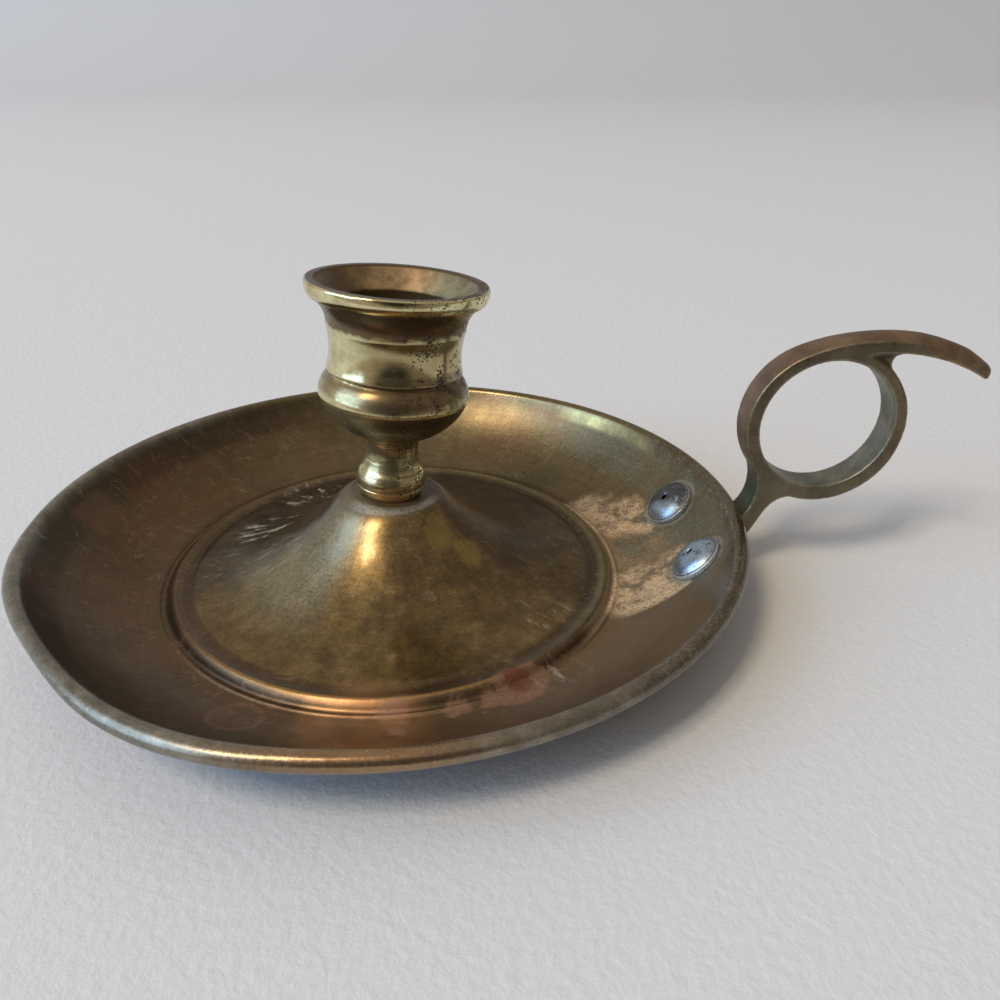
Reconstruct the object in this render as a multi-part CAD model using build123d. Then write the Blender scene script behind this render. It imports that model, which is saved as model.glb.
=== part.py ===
from build123d import *
from math import acos, asin, atan2, cos, degrees, hypot, radians, sin, sqrt
import os

# Brass chamberstick: a spun drip pan with a raised boss, a turned candle socket
# screwed down on the boss, and a cast finger ring riveted under the rim.
# Millimetres. Origin on the pan's axis at table level, +Z up, handle along +X.

# Pan, spun from sheet brass
SHEET = 0.9
RIM_D = 145.0
RIM_HEIGHT = 15.8
BEAD_D = 3.4
CURL_GAP = 0.3
TRAY_W = 24.8
FOOT_RING_W = 1.6
HEEL_R = 5.0
TRAY_START_SLOPE = 12.0
STEP_W = 3.0
STEP_H = 1.45
STEP_EDGE_R = 2.0
CROWN_R = 17.0
SEAT_R = 9.5
SEAT_HEIGHT = 19.1

# The socket has been knocked and leans a little towards the handle
LEAN = 5.5
LEAN_AZIMUTH = 28.0

# Candle socket, turned from brass bar; heights are above the seat
LIP_R = 17.3
LIP_LAND = 2.0
LIP_ROUND = 0.5
LIP_BAND_H = 2.9
CANDLE_BORE_D = 22.0
BORE_FLOOR_RISE = 4.9
MOUTH_FLARE_H = 4.0
FOOT_R = 6.2
FOOT_BEAD_R = 7.0
FOOT_BEAD_H = 5.8
STEM_R = 5.25
STEM_H = 7.2
CUP_BASE_R = 5.7
CUP_RIDGE_R = 14.7
CUP_RIDGE_H = 8.2
CUP_BULGE = 1.2
CUP_BEAD_R = 14.4
CUP_BEAD_RISE = 2.0
CUP_BEAD_TOP_R = 13.3
CUP_BEAD_H = 3.8
GROOVE_R = 12.6
GROOVE_W = 1.2
NECK_R = 12.7
NECK_FOOT_R = 13.15
NECK_TOP_R = 13.3
NECK_H = 8.3
FLARE_FOOT_R = 16.5
FLARE_H = 5.5
FLARE_HOLLOW = 0.65

# Stud, washer and nut that hold the socket down from inside the boss
STUD_D = 5.0
STUD_GRIP = 9.0
STUD_CLEAR = 0.08
STUD_PAST_NUT = 1.5
WASHER_D = 12.0
WASHER_T = 1.0
NUT_FLATS = 8.0
NUT_H = 4.0
PIECE_GAP = 0.02

# Handle, cast brass: finger ring, thumb tail, neck and palm plate
RING_PAST_RIM = 15.4
RING_Z = 33.0
FINGER_HOLE_D = 27.0
FINGER_HOLE_RISE = 0.4
BAND_T = 2.8
BAND_W = 7.0
TAIL_ARC_R = 39.0
TAIL_ROOT_ANGLE = 113.7
TAIL_T = 3.2
TAIL_MIDDLE_T = 2.9
TAIL_TIP_T = 2.3
TAIL_TIP_ROUND = 1.0
TAIL_PAST_RING = 32.3
TAIL_TIP_W = 5.4
TAIL_TAPER_LENGTH = 20.0
NOTCH_R = 2.0
NECK_ROOT_ANGLES = (207.0, 251.0)
NECK_HOLLOW = 2.0
NECK_WAIST = 4.4
NECK_BEAD_GAP = 0.8
NECK_RISE = 3.2
NECK_LEAN = 3.3
PALM_W = 13.0
PALM_T = 2.0
PALM_GAP = 0.05
PALM_RIM_GAP = 0.8

# Two blind rivets through tray and palm plate
RIVET_FROM_RIM = 8.9
RIVET_SPACING = 24.4
RIVET_D = 4.8
RIVET_HOLE_CLEAR = 0.05
RIVET_HEAD_D = 11.2
RIVET_HEAD_H = 3.2
RIVET_HEAD_EDGE = 1.2
RIVET_DOME_R = 3.6
RIVET_DOME_DROP = 0.5
RIVET_TAIL_D = 6.8
RIVET_TAIL_H = 3.5
RIVET_TAIL_ROUND = 0.4
MANDREL_D = 2.6
MANDREL_CLEAR = 0.05
MANDREL_SINK = 1.2
MANDREL_HEAD_D = 4.0
MANDREL_HEAD_H = 1.2

# Meridian of the pan's upper face, worked out as tangent arcs from the axis to the rim
bead_r = BEAD_D / 2
bead_x = RIM_D / 2 - bead_r
bead_z = RIM_HEIGHT - bead_r

foot_ring_r = RIM_D / 2 - TRAY_W
seat_depth = sqrt(CROWN_R**2 - SEAT_R**2)
crown_z = SEAT_HEIGHT - seat_depth / cos(radians(LEAN))

step_top_x = foot_ring_r - STEP_W
step_top_z = SHEET + STEP_H
step_fall = step_top_z - crown_z
flank_r = (step_top_x**2 + step_fall**2 - CROWN_R**2) / (2 * (CROWN_R - step_fall))
flank_z = step_top_z + flank_r
flank_angle = degrees(atan2(flank_z - crown_z, step_top_x))

step_crease_r = (STEP_W**2 + STEP_H**2) / (2 * STEP_H) - STEP_EDGE_R
step_edge_z = step_top_z - STEP_EDGE_R
step_crease_z = SHEET + step_crease_r
step_angle = degrees(atan2(step_crease_z - step_edge_z, STEP_W))

heel_x = foot_ring_r + FOOT_RING_W
heel_z = SHEET + HEEL_R
start = radians(TRAY_START_SLOPE)
tray_from_x = heel_x + HEEL_R * sin(start)
tray_from_z = heel_z - HEEL_R * cos(start)
run = bead_x - tray_from_x
climb = bead_z - tray_from_z
tray_r = (run**2 + climb**2 - bead_r**2) / (2 * (bead_r - run * sin(start) + climb * cos(start)))
tray_x = tray_from_x - tray_r * sin(start)
tray_z = tray_from_z + tray_r * cos(start)
rim_slope = degrees(asin((bead_x - tray_x) / (tray_r + bead_r)))
curl_sweep = 360 - degrees(acos((bead_r - SHEET - CURL_GAP) / bead_r))

# Frames of the leaned seat and of the two rivets
lean = radians(LEAN)
lean_azimuth = radians(LEAN_AZIMUTH)
lean_axis = Vector(sin(lean) * cos(lean_azimuth), sin(lean) * sin(lean_azimuth), cos(lean))
seat_frame = Plane(origin=(0, 0, SEAT_HEIGHT), x_dir=(cos(lean), 0, -lean_axis.X), z_dir=lean_axis)

rivet_r = RIM_D / 2 - RIVET_FROM_RIM
rivet_slope = asin((rivet_r - tray_x) / tray_r)
rivet_z = tray_z - tray_r * cos(rivet_slope)
rivet_azimuth = asin(RIVET_SPACING / 2 / rivet_r)
rivet_grip = SHEET + PALM_GAP + PALM_T
ring_x = RIM_D / 2 + RING_PAST_RIM
tail_reach = ring_x + TAIL_PAST_RING


def rivet_frame(side):
    """The frame of one rivet: on the tray's upper face, Z square to it."""
    azimuth = side * rivet_azimuth
    point = (rivet_r * cos(azimuth), rivet_r * sin(azimuth), rivet_z)
    inward = -sin(rivet_slope)
    normal = (inward * cos(azimuth), inward * sin(azimuth), cos(rivet_slope))
    return Plane(origin=point, z_dir=normal)


rivet_frames = [rivet_frame(side) for side in (-1, 1)]


def arc(x, z, radius, start_angle, end_angle):
    """An arc about (x, z) of a meridian, from one angle to the other."""
    return CenterArc((x, z), radius, start_angle, end_angle - start_angle)


def spun(edges):
    """The closed meridian of these edges turned about the Z axis."""
    return revolve(Plane.XZ * make_face(edges), Axis.Z)


def joined(edges):
    """The edges with straight lines closing the gaps between them, end to start."""
    closing = []
    for before, after in zip(edges, edges[1:] + edges[:1]):
        if (after @ 0 - before @ 1).length > 1e-6:
            closing.append(Line(before @ 1, after @ 0))
    return edges + closing


def pan_skin(offset):
    """Edges of the pan's upper face from axis to rim, or of the face this far under it."""
    return [
        arc(0, crown_z, CROWN_R - offset, 90, flank_angle),
        arc(step_top_x, flank_z, flank_r + offset, 180 + flank_angle, 270),
        arc(step_top_x, step_edge_z, STEP_EDGE_R - offset, 90, step_angle),
        arc(foot_ring_r, step_crease_z, step_crease_r + offset, 180 + step_angle, 270),
        Line((foot_ring_r, SHEET - offset), (heel_x, SHEET - offset)),
        arc(heel_x, heel_z, HEEL_R + offset, 270, 270 + TRAY_START_SLOPE),
        arc(tray_x, tray_z, tray_r + offset, 270 + TRAY_START_SLOPE, 270 + rim_slope),
    ]


def reverse(edges):
    """The same run of edges walked the other way."""
    return [edge.reversed() for edge in edges[::-1]]


def tray_band(inner, outer, short_of_rim=0.0):
    """The tray's dished stretch as a solid between two depths under its upper face."""
    ends = (270 + TRAY_START_SLOPE, 270 + rim_slope - degrees(short_of_rim / tray_r))
    upper = arc(tray_x, tray_z, tray_r + inner, *ends)
    lower = arc(tray_x, tray_z, tray_r + outer, *ends)
    return spun(joined([upper, lower.reversed()]))


def make_pan():
    """Spun sheet: rolled rim, dished tray, stepped ring and a boss with a flat leaned seat."""
    curl_start = 90 + rim_slope
    curl = [
        arc(bead_x, bead_z, bead_r, curl_start, curl_start - curl_sweep),
        arc(bead_x, bead_z, bead_r - SHEET, curl_start - curl_sweep, curl_start),
    ]
    sheet = spun(joined(pan_skin(0) + curl + reverse(pan_skin(SHEET))))
    above_seat = seat_frame * Cylinder(CROWN_R, CROWN_R, align=(Align.CENTER, Align.CENTER, Align.MIN))
    seat_under_r = sqrt((CROWN_R - SHEET) ** 2 - (seat_depth - SHEET) ** 2)
    seat_disc_r = (SEAT_R + seat_under_r) / 2
    seat_circle = Plane(origin=Vector(0, 0, crown_z) + lean_axis * seat_depth, z_dir=lean_axis)
    seat_disc = seat_circle * Cylinder(seat_disc_r, SHEET, align=(Align.CENTER, Align.CENTER, Align.MAX))
    pan = sheet - above_seat + seat_disc
    pan -= seat_frame * Cylinder(STUD_D / 2 + STUD_CLEAR, CROWN_R)
    for frame in rivet_frames:
        pan -= frame * Cylinder(RIVET_D / 2 + RIVET_HOLE_CLEAR, 2 * rivet_grip)
    return pan


def make_candle_socket():
    """Turned socket: foot and stem, beaded cup, waisted neck, flared lip and the candle bore."""
    stem_foot = FOOT_BEAD_H
    cup_base = stem_foot + STEM_H
    ridge = cup_base + CUP_RIDGE_H
    groove = ridge + CUP_BEAD_H
    neck_foot = groove + GROOVE_W
    neck_top = neck_foot + NECK_H
    lip_foot = neck_top + FLARE_H
    top = lip_foot + LIP_BAND_H
    mouth = top - MOUTH_FLARE_H
    bore_floor = cup_base + BORE_FLOOR_RISE
    bore_r = CANDLE_BORE_D / 2
    stud_hole_r = STUD_D / 2 + STUD_CLEAR

    # the cup's underside bulges out from its chord, the flare hollows in from its own
    cup_middle = ((CUP_BASE_R + CUP_RIDGE_R) / 2 + CUP_BULGE, (cup_base + ridge) / 2 - CUP_BULGE)
    flare_middle = ((NECK_TOP_R + FLARE_FOOT_R) / 2 - FLARE_HOLLOW, (neck_top + lip_foot) / 2 + FLARE_HOLLOW)
    stem_foot_r = (FOOT_R + STEM_R) / 2 + (FOOT_BEAD_R - FOOT_R) / 2
    edges = [
        ThreePointArc((FOOT_R, 0), (FOOT_BEAD_R, stem_foot / 2), (stem_foot_r, stem_foot)),
        ThreePointArc((stem_foot_r, stem_foot), (STEM_R, (stem_foot + cup_base) / 2), (CUP_BASE_R, cup_base)),
        ThreePointArc((CUP_BASE_R, cup_base), cup_middle, (CUP_RIDGE_R, ridge)),
        ThreePointArc((CUP_RIDGE_R, ridge), (CUP_BEAD_R, ridge + CUP_BEAD_RISE), (CUP_BEAD_TOP_R, groove)),
        Line((CUP_BEAD_TOP_R, groove), (GROOVE_R, groove + GROOVE_W / 2)),
        Line((GROOVE_R, groove + GROOVE_W / 2), (NECK_FOOT_R, neck_foot)),
        ThreePointArc((NECK_FOOT_R, neck_foot), (NECK_R, (neck_foot + neck_top) / 2), (NECK_TOP_R, neck_top)),
        ThreePointArc((NECK_TOP_R, neck_top), flare_middle, (FLARE_FOOT_R, lip_foot)),
        Line((FLARE_FOOT_R, lip_foot), (LIP_R, top - LIP_ROUND)),
        RadiusArc((LIP_R, top - LIP_ROUND), (LIP_R - LIP_ROUND, top), -LIP_ROUND),
        Line((LIP_R - LIP_ROUND, top), (LIP_R - LIP_LAND, top)),
        Line((LIP_R - LIP_LAND, top), (bore_r, mouth)),
        Line((bore_r, mouth), (bore_r, bore_floor)),
        Line((bore_r, bore_floor), (0, bore_floor)),
        Line((0, bore_floor), (0, STUD_GRIP + STUD_PAST_NUT)),
        Line((0, STUD_GRIP + STUD_PAST_NUT), (stud_hole_r, STUD_GRIP + STUD_PAST_NUT)),
        Line((stud_hole_r, STUD_GRIP + STUD_PAST_NUT), (stud_hole_r, 0)),
        Line((stud_hole_r, 0), (FOOT_R, 0)),
    ]
    return seat_frame * spun(edges)


def make_fixings():
    """Stud, washer and nut on the socket's own axis, under the seat."""
    down = (Align.CENTER, Align.CENTER, Align.MAX)
    washer_top = -SHEET - PIECE_GAP
    nut_top = washer_top - WASHER_T - PIECE_GAP
    stud_length = STUD_GRIP - nut_top + NUT_H + STUD_PAST_NUT
    stud_top = Pos(0, 0, STUD_GRIP)
    hole = Cylinder(STUD_D / 2 + STUD_CLEAR, WASHER_T + 2 * NUT_H, align=down)
    stud = stud_top * Cylinder(STUD_D / 2, stud_length, align=down)
    washer = Pos(0, 0, washer_top) * (Cylinder(WASHER_D / 2, WASHER_T, align=down) - hole)
    hexagon = extrude(RegularPolygon(NUT_FLATS / 2, 6, major_radius=False), -NUT_H)
    nut = Pos(0, 0, nut_top) * (hexagon - hole)
    return [seat_frame * piece for piece in (stud, washer, nut)]


def handle_side():
    """Side view of the ring, tail and neck: X across, Z up."""
    ring_r = FINGER_HOLE_D / 2 + BAND_T
    root = radians(TAIL_ROOT_ANGLE)
    tail_x = ring_x - (TAIL_ARC_R - ring_r) * cos(root)
    tail_z = RING_Z - (TAIL_ARC_R - ring_r) * sin(root)
    tip_angle = degrees(acos((tail_reach - tail_x) / TAIL_ARC_R))

    def under_tail(angle, thickness):
        reach = TAIL_ARC_R - thickness
        return (tail_x + reach * cos(radians(angle)), tail_z + reach * sin(radians(angle)))

    middle_angle = (TAIL_ROOT_ANGLE + tip_angle) / 2
    under_tip = under_tail(tip_angle, TAIL_TIP_T)
    under_middle = under_tail(middle_angle, TAIL_MIDDLE_T)
    under_root = under_tail(TAIL_ROOT_ANGLE, TAIL_T)
    tail_edges = [
        arc(tail_x, tail_z, TAIL_ARC_R, TAIL_ROOT_ANGLE, tip_angle),
        ThreePointArc(under_tip, under_middle, under_root),
    ]
    tail = make_face(joined(tail_edges))
    tip_corners = tail.vertices().sort_by_distance((*under_tip, 0))[:2]
    tail = fillet(tip_corners, TAIL_TIP_ROUND)

    # the neck leaves the ring's lower left, swings under the rim and ends in the palm plate
    near_root, far_root = (radians(angle) for angle in NECK_ROOT_ANGLES)
    upper_start = (ring_x + ring_r * cos(near_root), RING_Z + ring_r * sin(near_root))
    lower_start = (ring_x + ring_r * cos(far_root), RING_Z + ring_r * sin(far_root))
    under_rim_z = bead_z - bead_r - NECK_BEAD_GAP
    beside_rim = (bead_x + bead_r + NECK_BEAD_GAP, bead_z - bead_r / 2)
    waist = (beside_rim[0] + NECK_HOLLOW, bead_z + NECK_RISE)
    palm_x = rivet_r * cos(rivet_azimuth) + PALM_W / 2
    palm_root_x = palm_x - PALM_T
    palm_slope = asin((palm_root_x - tray_x) / (tray_r + SHEET + PALM_GAP))
    palm_top_z = tray_z - (tray_r + SHEET + PALM_GAP) * cos(palm_slope)
    palm_under_z = palm_top_z - PALM_T / cos(palm_slope)
    neck_edges = [
        Spline(upper_start, waist, beside_rim, (bead_x, under_rim_z)),
        Line((bead_x, under_rim_z), (palm_root_x, palm_top_z - PALM_T / 4)),
        Line((palm_root_x, palm_top_z - PALM_T / 4), (palm_root_x, palm_under_z + PALM_T / 4)),
        Spline(
            (palm_root_x, palm_under_z + PALM_T / 4),
            (beside_rim[0] + NECK_WAIST / 2, under_rim_z - NECK_HOLLOW),
            (waist[0] + NECK_LEAN, waist[1] - NECK_HOLLOW),
            lower_start,
        ),
        Line(lower_start, (ring_x, RING_Z)),
        Line((ring_x, RING_Z), upper_start),
    ]
    neck = make_face(neck_edges)
    finger_hole = Pos(ring_x, RING_Z + FINGER_HOLE_RISE) * Circle(FINGER_HOLE_D / 2)
    side = Pos(ring_x, RING_Z) * Circle(ring_r) + tail + neck - finger_hole

    # round the inside corner where the tail leaves the ring
    spread = hypot(tail_x - ring_x, tail_z - RING_Z)
    under_r = TAIL_ARC_R - TAIL_T
    swing = degrees(acos((ring_r**2 + spread**2 - under_r**2) / (2 * ring_r * spread)))
    notch_angle = radians(TAIL_ROOT_ANGLE + 180 + swing)
    notch = (ring_x + ring_r * cos(notch_angle), RING_Z + ring_r * sin(notch_angle), 0)
    corner = side.vertices().sort_by_distance(notch)[0]
    return fillet(corner, NOTCH_R)


def handle_plan():
    """Plan of the ring and tail: parallel sides, then a taper to a round tip."""
    half = BAND_W / 2
    tip_half = TAIL_TIP_W / 2
    taper_from = tail_reach - TAIL_TAPER_LENGTH
    tip_from = tail_reach - tip_half
    edges = [
        Line((tip_from, -tip_half), (taper_from, -half)),
        Line((taper_from, -half), (0, -half)),
        Line((0, -half), (0, half)),
        Line((0, half), (taper_from, half)),
        Line((taper_from, half), (tip_from, tip_half)),
        ThreePointArc((tip_from, tip_half), (tail_reach, 0), (tip_from, -tip_half)),
    ]
    return make_face(edges)


def make_handle():
    """Cast ring, tail and neck in one piece with the palm plate pressed to the tray's underside."""
    band = Plane.XZ * extrude(handle_side(), BAND_W / 2, both=True)
    band &= extrude(handle_plan(), RING_Z + TAIL_ARC_R)
    palm_centre = Pos(rivet_r * cos(rivet_azimuth), 0, 0)
    palm_outline = palm_centre * SlotCenterToCenter(RIVET_SPACING, PALM_W, rotation=90)
    palm_depth = SHEET + PALM_GAP
    palm = tray_band(palm_depth, palm_depth + PALM_T, bead_r + PALM_RIM_GAP)
    palm &= extrude(palm_outline, RIM_HEIGHT)
    for frame in rivet_frames:
        palm -= frame * Cylinder(RIVET_D / 2 + RIVET_HOLE_CLEAR, 4 * rivet_grip)
    return band + palm


def make_rivet_body(frame):
    """Blind rivet: domed head on the tray, hollow sleeve, and the swelled tail under the palm plate."""
    hole_r = MANDREL_D / 2 + MANDREL_CLEAR
    head_r = RIVET_HEAD_D / 2
    tail_top = -rivet_grip - PIECE_GAP
    crown_middle = (RIVET_DOME_R, RIVET_HEAD_H - RIVET_DOME_DROP)
    head_edges = [
        Line((hole_r, 0), (head_r, 0)),
        Line((head_r, 0), (head_r, RIVET_HEAD_EDGE)),
        ThreePointArc((head_r, RIVET_HEAD_EDGE), crown_middle, (hole_r, RIVET_HEAD_H)),
        Line((hole_r, RIVET_HEAD_H), (hole_r, 0)),
    ]
    tail_edges = [
        Line((hole_r, RIVET_HEAD_EDGE), (RIVET_D / 2, RIVET_HEAD_EDGE)),
        Line((RIVET_D / 2, RIVET_HEAD_EDGE), (RIVET_D / 2, tail_top)),
        Line((RIVET_D / 2, tail_top), (RIVET_TAIL_D / 2 - RIVET_TAIL_ROUND, tail_top)),
        ThreePointArc(
            (RIVET_TAIL_D / 2 - RIVET_TAIL_ROUND, tail_top),
            (RIVET_TAIL_D / 2, tail_top - RIVET_TAIL_H / 2),
            (RIVET_D / 2, tail_top - RIVET_TAIL_H),
        ),
        Line((RIVET_D / 2, tail_top - RIVET_TAIL_H), (hole_r, tail_top - RIVET_TAIL_H)),
        Line((hole_r, tail_top - RIVET_TAIL_H), (hole_r, RIVET_HEAD_EDGE)),
    ]
    head = frame * spun(head_edges) - tray_band(0, SHEET)
    return head + frame * spun(tail_edges)


def make_rivet_mandrel(frame):
    """The steel stub that stays in the sleeve, with the head that swelled the rivet's tail."""
    tail_end = -rivet_grip - PIECE_GAP - RIVET_TAIL_H - PIECE_GAP
    stub_top = RIVET_HEAD_H - MANDREL_SINK
    down = (Align.CENTER, Align.CENTER, Align.MAX)
    stub = Pos(0, 0, stub_top) * Cylinder(MANDREL_D / 2, stub_top - tail_end + MANDREL_HEAD_H / 2, align=down)
    head = Pos(0, 0, tail_end) * Cylinder(MANDREL_HEAD_D / 2, MANDREL_HEAD_H, align=down)
    return frame * (stub + head)


stud, washer, nut = make_fixings()
pieces = {
    "pan": make_pan(),
    "candle_socket": make_candle_socket(),
    "socket_stud": stud,
    "stud_washer": washer,
    "stud_nut": nut,
    "handle": make_handle(),
    "rivet_bodies": Compound([make_rivet_body(frame) for frame in rivet_frames]),
    "rivet_mandrels": Compound([make_rivet_mandrel(frame) for frame in rivet_frames]),
}

os.makedirs("parts", exist_ok=True)
for name, piece in pieces.items():
    export_step(piece, f"parts/{name}.step")
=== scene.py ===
from math import acos, asin, atan2, cos, degrees, exp, pi, radians, sin, sqrt

import bmesh
import bpy
import numpy as np
from mathutils import Matrix, Vector


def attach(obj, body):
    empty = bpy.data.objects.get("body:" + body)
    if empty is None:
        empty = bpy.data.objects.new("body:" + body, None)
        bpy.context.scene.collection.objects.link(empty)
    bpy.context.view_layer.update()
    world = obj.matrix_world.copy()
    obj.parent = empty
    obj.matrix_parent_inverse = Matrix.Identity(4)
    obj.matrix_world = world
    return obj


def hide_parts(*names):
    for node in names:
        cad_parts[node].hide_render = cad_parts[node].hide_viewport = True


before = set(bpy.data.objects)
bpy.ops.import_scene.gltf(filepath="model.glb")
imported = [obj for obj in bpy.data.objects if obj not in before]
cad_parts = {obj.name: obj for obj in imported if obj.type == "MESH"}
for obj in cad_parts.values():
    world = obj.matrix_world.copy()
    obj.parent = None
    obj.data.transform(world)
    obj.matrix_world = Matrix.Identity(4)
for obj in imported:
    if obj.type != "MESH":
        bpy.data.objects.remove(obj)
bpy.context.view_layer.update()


# Drip pan
# One disc of thin sheet brass spun over a form: rolled rim, dished tray, a step and the raised boss.
# It stands on the narrow flat ring at the foot of the step and carries every other piece.
MM = 0.001
SHEET = 0.9
BEAD_R = 1.7
BEAD_X = 70.8
BEAD_Z = 14.1
CURL_GAP = 0.3
STUD_HOLE_R = 2.58
CROWN_R = 17.0
SEAT_R = 9.5
SEAT_HEIGHT = 19.1
FOOT_RING_R = 47.7
HEEL_X = 49.3
HEEL_R = 5.0
TRAY_START = 12.0
STEP_W = 3.0
STEP_H = 1.45
STEP_EDGE_R = 2.0
FINE_FROM = 263.8
LEAN = radians(5.5)
LEAN_AZIMUTH = radians(28.0)
RIVET_HEADS = ((62.4, -12.2, 7.8), (62.4, 12.2, 7.8))

lean_axis = Vector((sin(LEAN) * cos(LEAN_AZIMUTH), sin(LEAN) * sin(LEAN_AZIMUTH), cos(LEAN)))
seat_depth = sqrt(CROWN_R**2 - SEAT_R**2)
crown_z = SEAT_HEIGHT - seat_depth / cos(LEAN)
step_top_x = FOOT_RING_R - STEP_W
step_top_z = SHEET + STEP_H
step_fall = step_top_z - crown_z
flank_r = (step_top_x**2 + step_fall**2 - CROWN_R**2) / (2 * (CROWN_R - step_fall))
flank_z = step_top_z + flank_r
flank_angle = degrees(atan2(flank_z - crown_z, step_top_x))
crease_r = (STEP_W**2 + STEP_H**2) / (2 * STEP_H) - STEP_EDGE_R
crease_z = SHEET + crease_r
step_edge_z = step_top_z - STEP_EDGE_R
step_angle = degrees(atan2(crease_z - step_edge_z, STEP_W))
heel_z = SHEET + HEEL_R
tray_slope = radians(TRAY_START)
tray_from = (HEEL_X + HEEL_R * sin(tray_slope), heel_z - HEEL_R * cos(tray_slope))
tray_run = BEAD_X - tray_from[0]
tray_climb = BEAD_Z - tray_from[1]
tray_r = (tray_run**2 + tray_climb**2 - BEAD_R**2) / (
    2 * (BEAD_R - tray_run * sin(tray_slope) + tray_climb * cos(tray_slope))
)
tray_x = tray_from[0] - tray_r * sin(tray_slope)
tray_z = tray_from[1] + tray_r * cos(tray_slope)
rim_slope = degrees(asin((BEAD_X - tray_x) / (tray_r + BEAD_R)))


def arc(x, z, radius, start, end, count):
    """Points of a meridian on an arc about (x, z), angles in degrees, both ends included."""
    angles = [radians(start + (end - start) * i / (count - 1)) for i in range(count)]
    return [(x + radius * cos(a), z + radius * sin(a)) for a in angles]


def pan_skin(depth):
    """The pan's upper face from the stud hole to the rim, or the face this deep under it."""
    crown = CROWN_R - depth
    return (
        arc(0, crown_z, crown, degrees(acos(STUD_HOLE_R / crown)), flank_angle, 24)
        + arc(step_top_x, flank_z, flank_r + depth, 180 + flank_angle, FINE_FROM, 30)[1:]
        + arc(step_top_x, flank_z, flank_r + depth, FINE_FROM, 270, 24)[1:]
        + arc(step_top_x, step_edge_z, STEP_EDGE_R - depth, 90, step_angle, 14)[1:]
        + arc(FOOT_RING_R, crease_z, crease_r + depth, 180 + step_angle, 270, 14)[1:]
        + [(FOOT_RING_R + run, SHEET - depth) for run in (0.2, 0.4, 0.7)]
        + [(HEEL_X, SHEET - depth)]
        + arc(HEEL_X, heel_z, HEEL_R + depth, 270, 270 + TRAY_START, 4)[1:]
        + arc(tray_x, tray_z, tray_r + depth, 270 + TRAY_START, 270 + rim_slope, 32)[1:]
    )


# the spinning tool left a ridge along the step's edge, a furrow inside it and a fine ridge at its foot;
# each has its radius, rise and width
RIDGES = ((44.9, 0.4, 0.8), (42.4, -0.3, 1.1), (47.5, 0.35, 0.4))
pan_top = [
    (x, z + sum(rise * exp(-(((x - at) / width) ** 2)) for at, rise, width in RIDGES)) for x, z in pan_skin(0)
]
curl_from = 90 + rim_slope
curl_to = curl_from - 360 + degrees(acos((BEAD_R - SHEET - CURL_GAP) / BEAD_R))
pan_meridian = (
    pan_top
    + arc(BEAD_X, BEAD_Z, BEAD_R, curl_from, curl_to, 36)[1:]
    + arc(BEAD_X, BEAD_Z, BEAD_R - SHEET, curl_to, curl_from, 20)
    + pan_skin(SHEET)[::-1][1:]
)


def linear(colour):
    """An sRGB hex colour as linear RGBA."""
    parts = [int(colour[i : i + 2], 16) / 255 for i in (1, 3, 5)]
    return tuple(c / 12.92 if c <= 0.04045 else ((c + 0.055) / 1.055) ** 2.4 for c in parts) + (1.0,)


def add(tree, kind, settings=None, inputs=None):
    """Adds one node with its own settings, fed by plain values, sockets, or nodes for their first socket."""
    made = tree.nodes.new(kind)
    for name, value in (settings or {}).items():
        setattr(made, name, value)
    for key, value in (inputs or {}).items():
        if isinstance(value, bpy.types.Node):
            value = value.outputs[0]
        if isinstance(value, bpy.types.NodeSocket):
            tree.links.new(value, made.inputs[key])
        else:
            made.inputs[key].default_value = value
    return made


def shaping_tree(name, inputs, result):
    """A new Geometry Nodes tree with named inputs and one shape as its result."""
    tree = bpy.data.node_groups.new(name, "GeometryNodeTree")
    for label, kind in inputs:
        tree.interface.new_socket(label, in_out="INPUT", socket_type="NodeSocket" + kind)
    tree.interface.new_socket(result, in_out="OUTPUT", socket_type="NodeSocketGeometry")
    return tree, add(tree, "NodeGroupInput").outputs


# the lathe: each point of the profile (x is the radius) becomes a ring of points about Z
lathe, given = shaping_tree(
    "lathe",
    (
        ("Profile", "Geometry"),
        ("Turn steps", "Int"),
        ("Seat", "Vector"),
        ("Axis", "Vector"),
        ("Finish", "Material"),
    ),
    "Turned",
)
rows = add(lathe, "GeometryNodeAttributeDomainSize", {"component": "MESH"}, {"Geometry": given["Profile"]})
columns = add(lathe, "ShaderNodeMath", {"operation": "ADD"}, {0: given["Turn steps"], 1: 1.0})
sheet = add(lathe, "GeometryNodeMeshGrid", None, {"Vertices X": rows, "Vertices Y": columns})
index = add(lathe, "GeometryNodeInputIndex")
share = add(lathe, "ShaderNodeMath", {"operation": "DIVIDE"}, {0: index, 1: columns})
nudged = add(lathe, "ShaderNodeMath", {"operation": "ADD"}, {0: share, 1: 1e-5})
row = add(lathe, "ShaderNodeMath", {"operation": "FLOOR"}, {0: nudged})
before = add(lathe, "ShaderNodeMath", {"operation": "MULTIPLY"}, {0: row, 1: columns})
column = add(lathe, "ShaderNodeMath", {"operation": "SUBTRACT"}, {0: index, 1: before})
turn = add(lathe, "ShaderNodeMath", {"operation": "DIVIDE"}, {0: column, 1: given["Turn steps"]})
angle = add(lathe, "ShaderNodeMath", {"operation": "MULTIPLY"}, {0: turn, 1: 2 * pi})
place = add(lathe, "GeometryNodeInputPosition")
point = add(
    lathe,
    "GeometryNodeSampleIndex",
    {"data_type": "FLOAT_VECTOR", "domain": "POINT"},
    {"Geometry": given["Profile"], "Value": place, "Index": row},
)
turned = add(lathe, "ShaderNodeVectorRotate", {"rotation_type": "Z_AXIS"}, {"Vector": point, "Angle": angle})
ringed = add(lathe, "GeometryNodeSetPosition", None, {"Geometry": sheet, "Position": turned})
closed = add(lathe, "GeometryNodeMergeByDistance", None, {"Geometry": ringed, "Distance": 2e-6})
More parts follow.
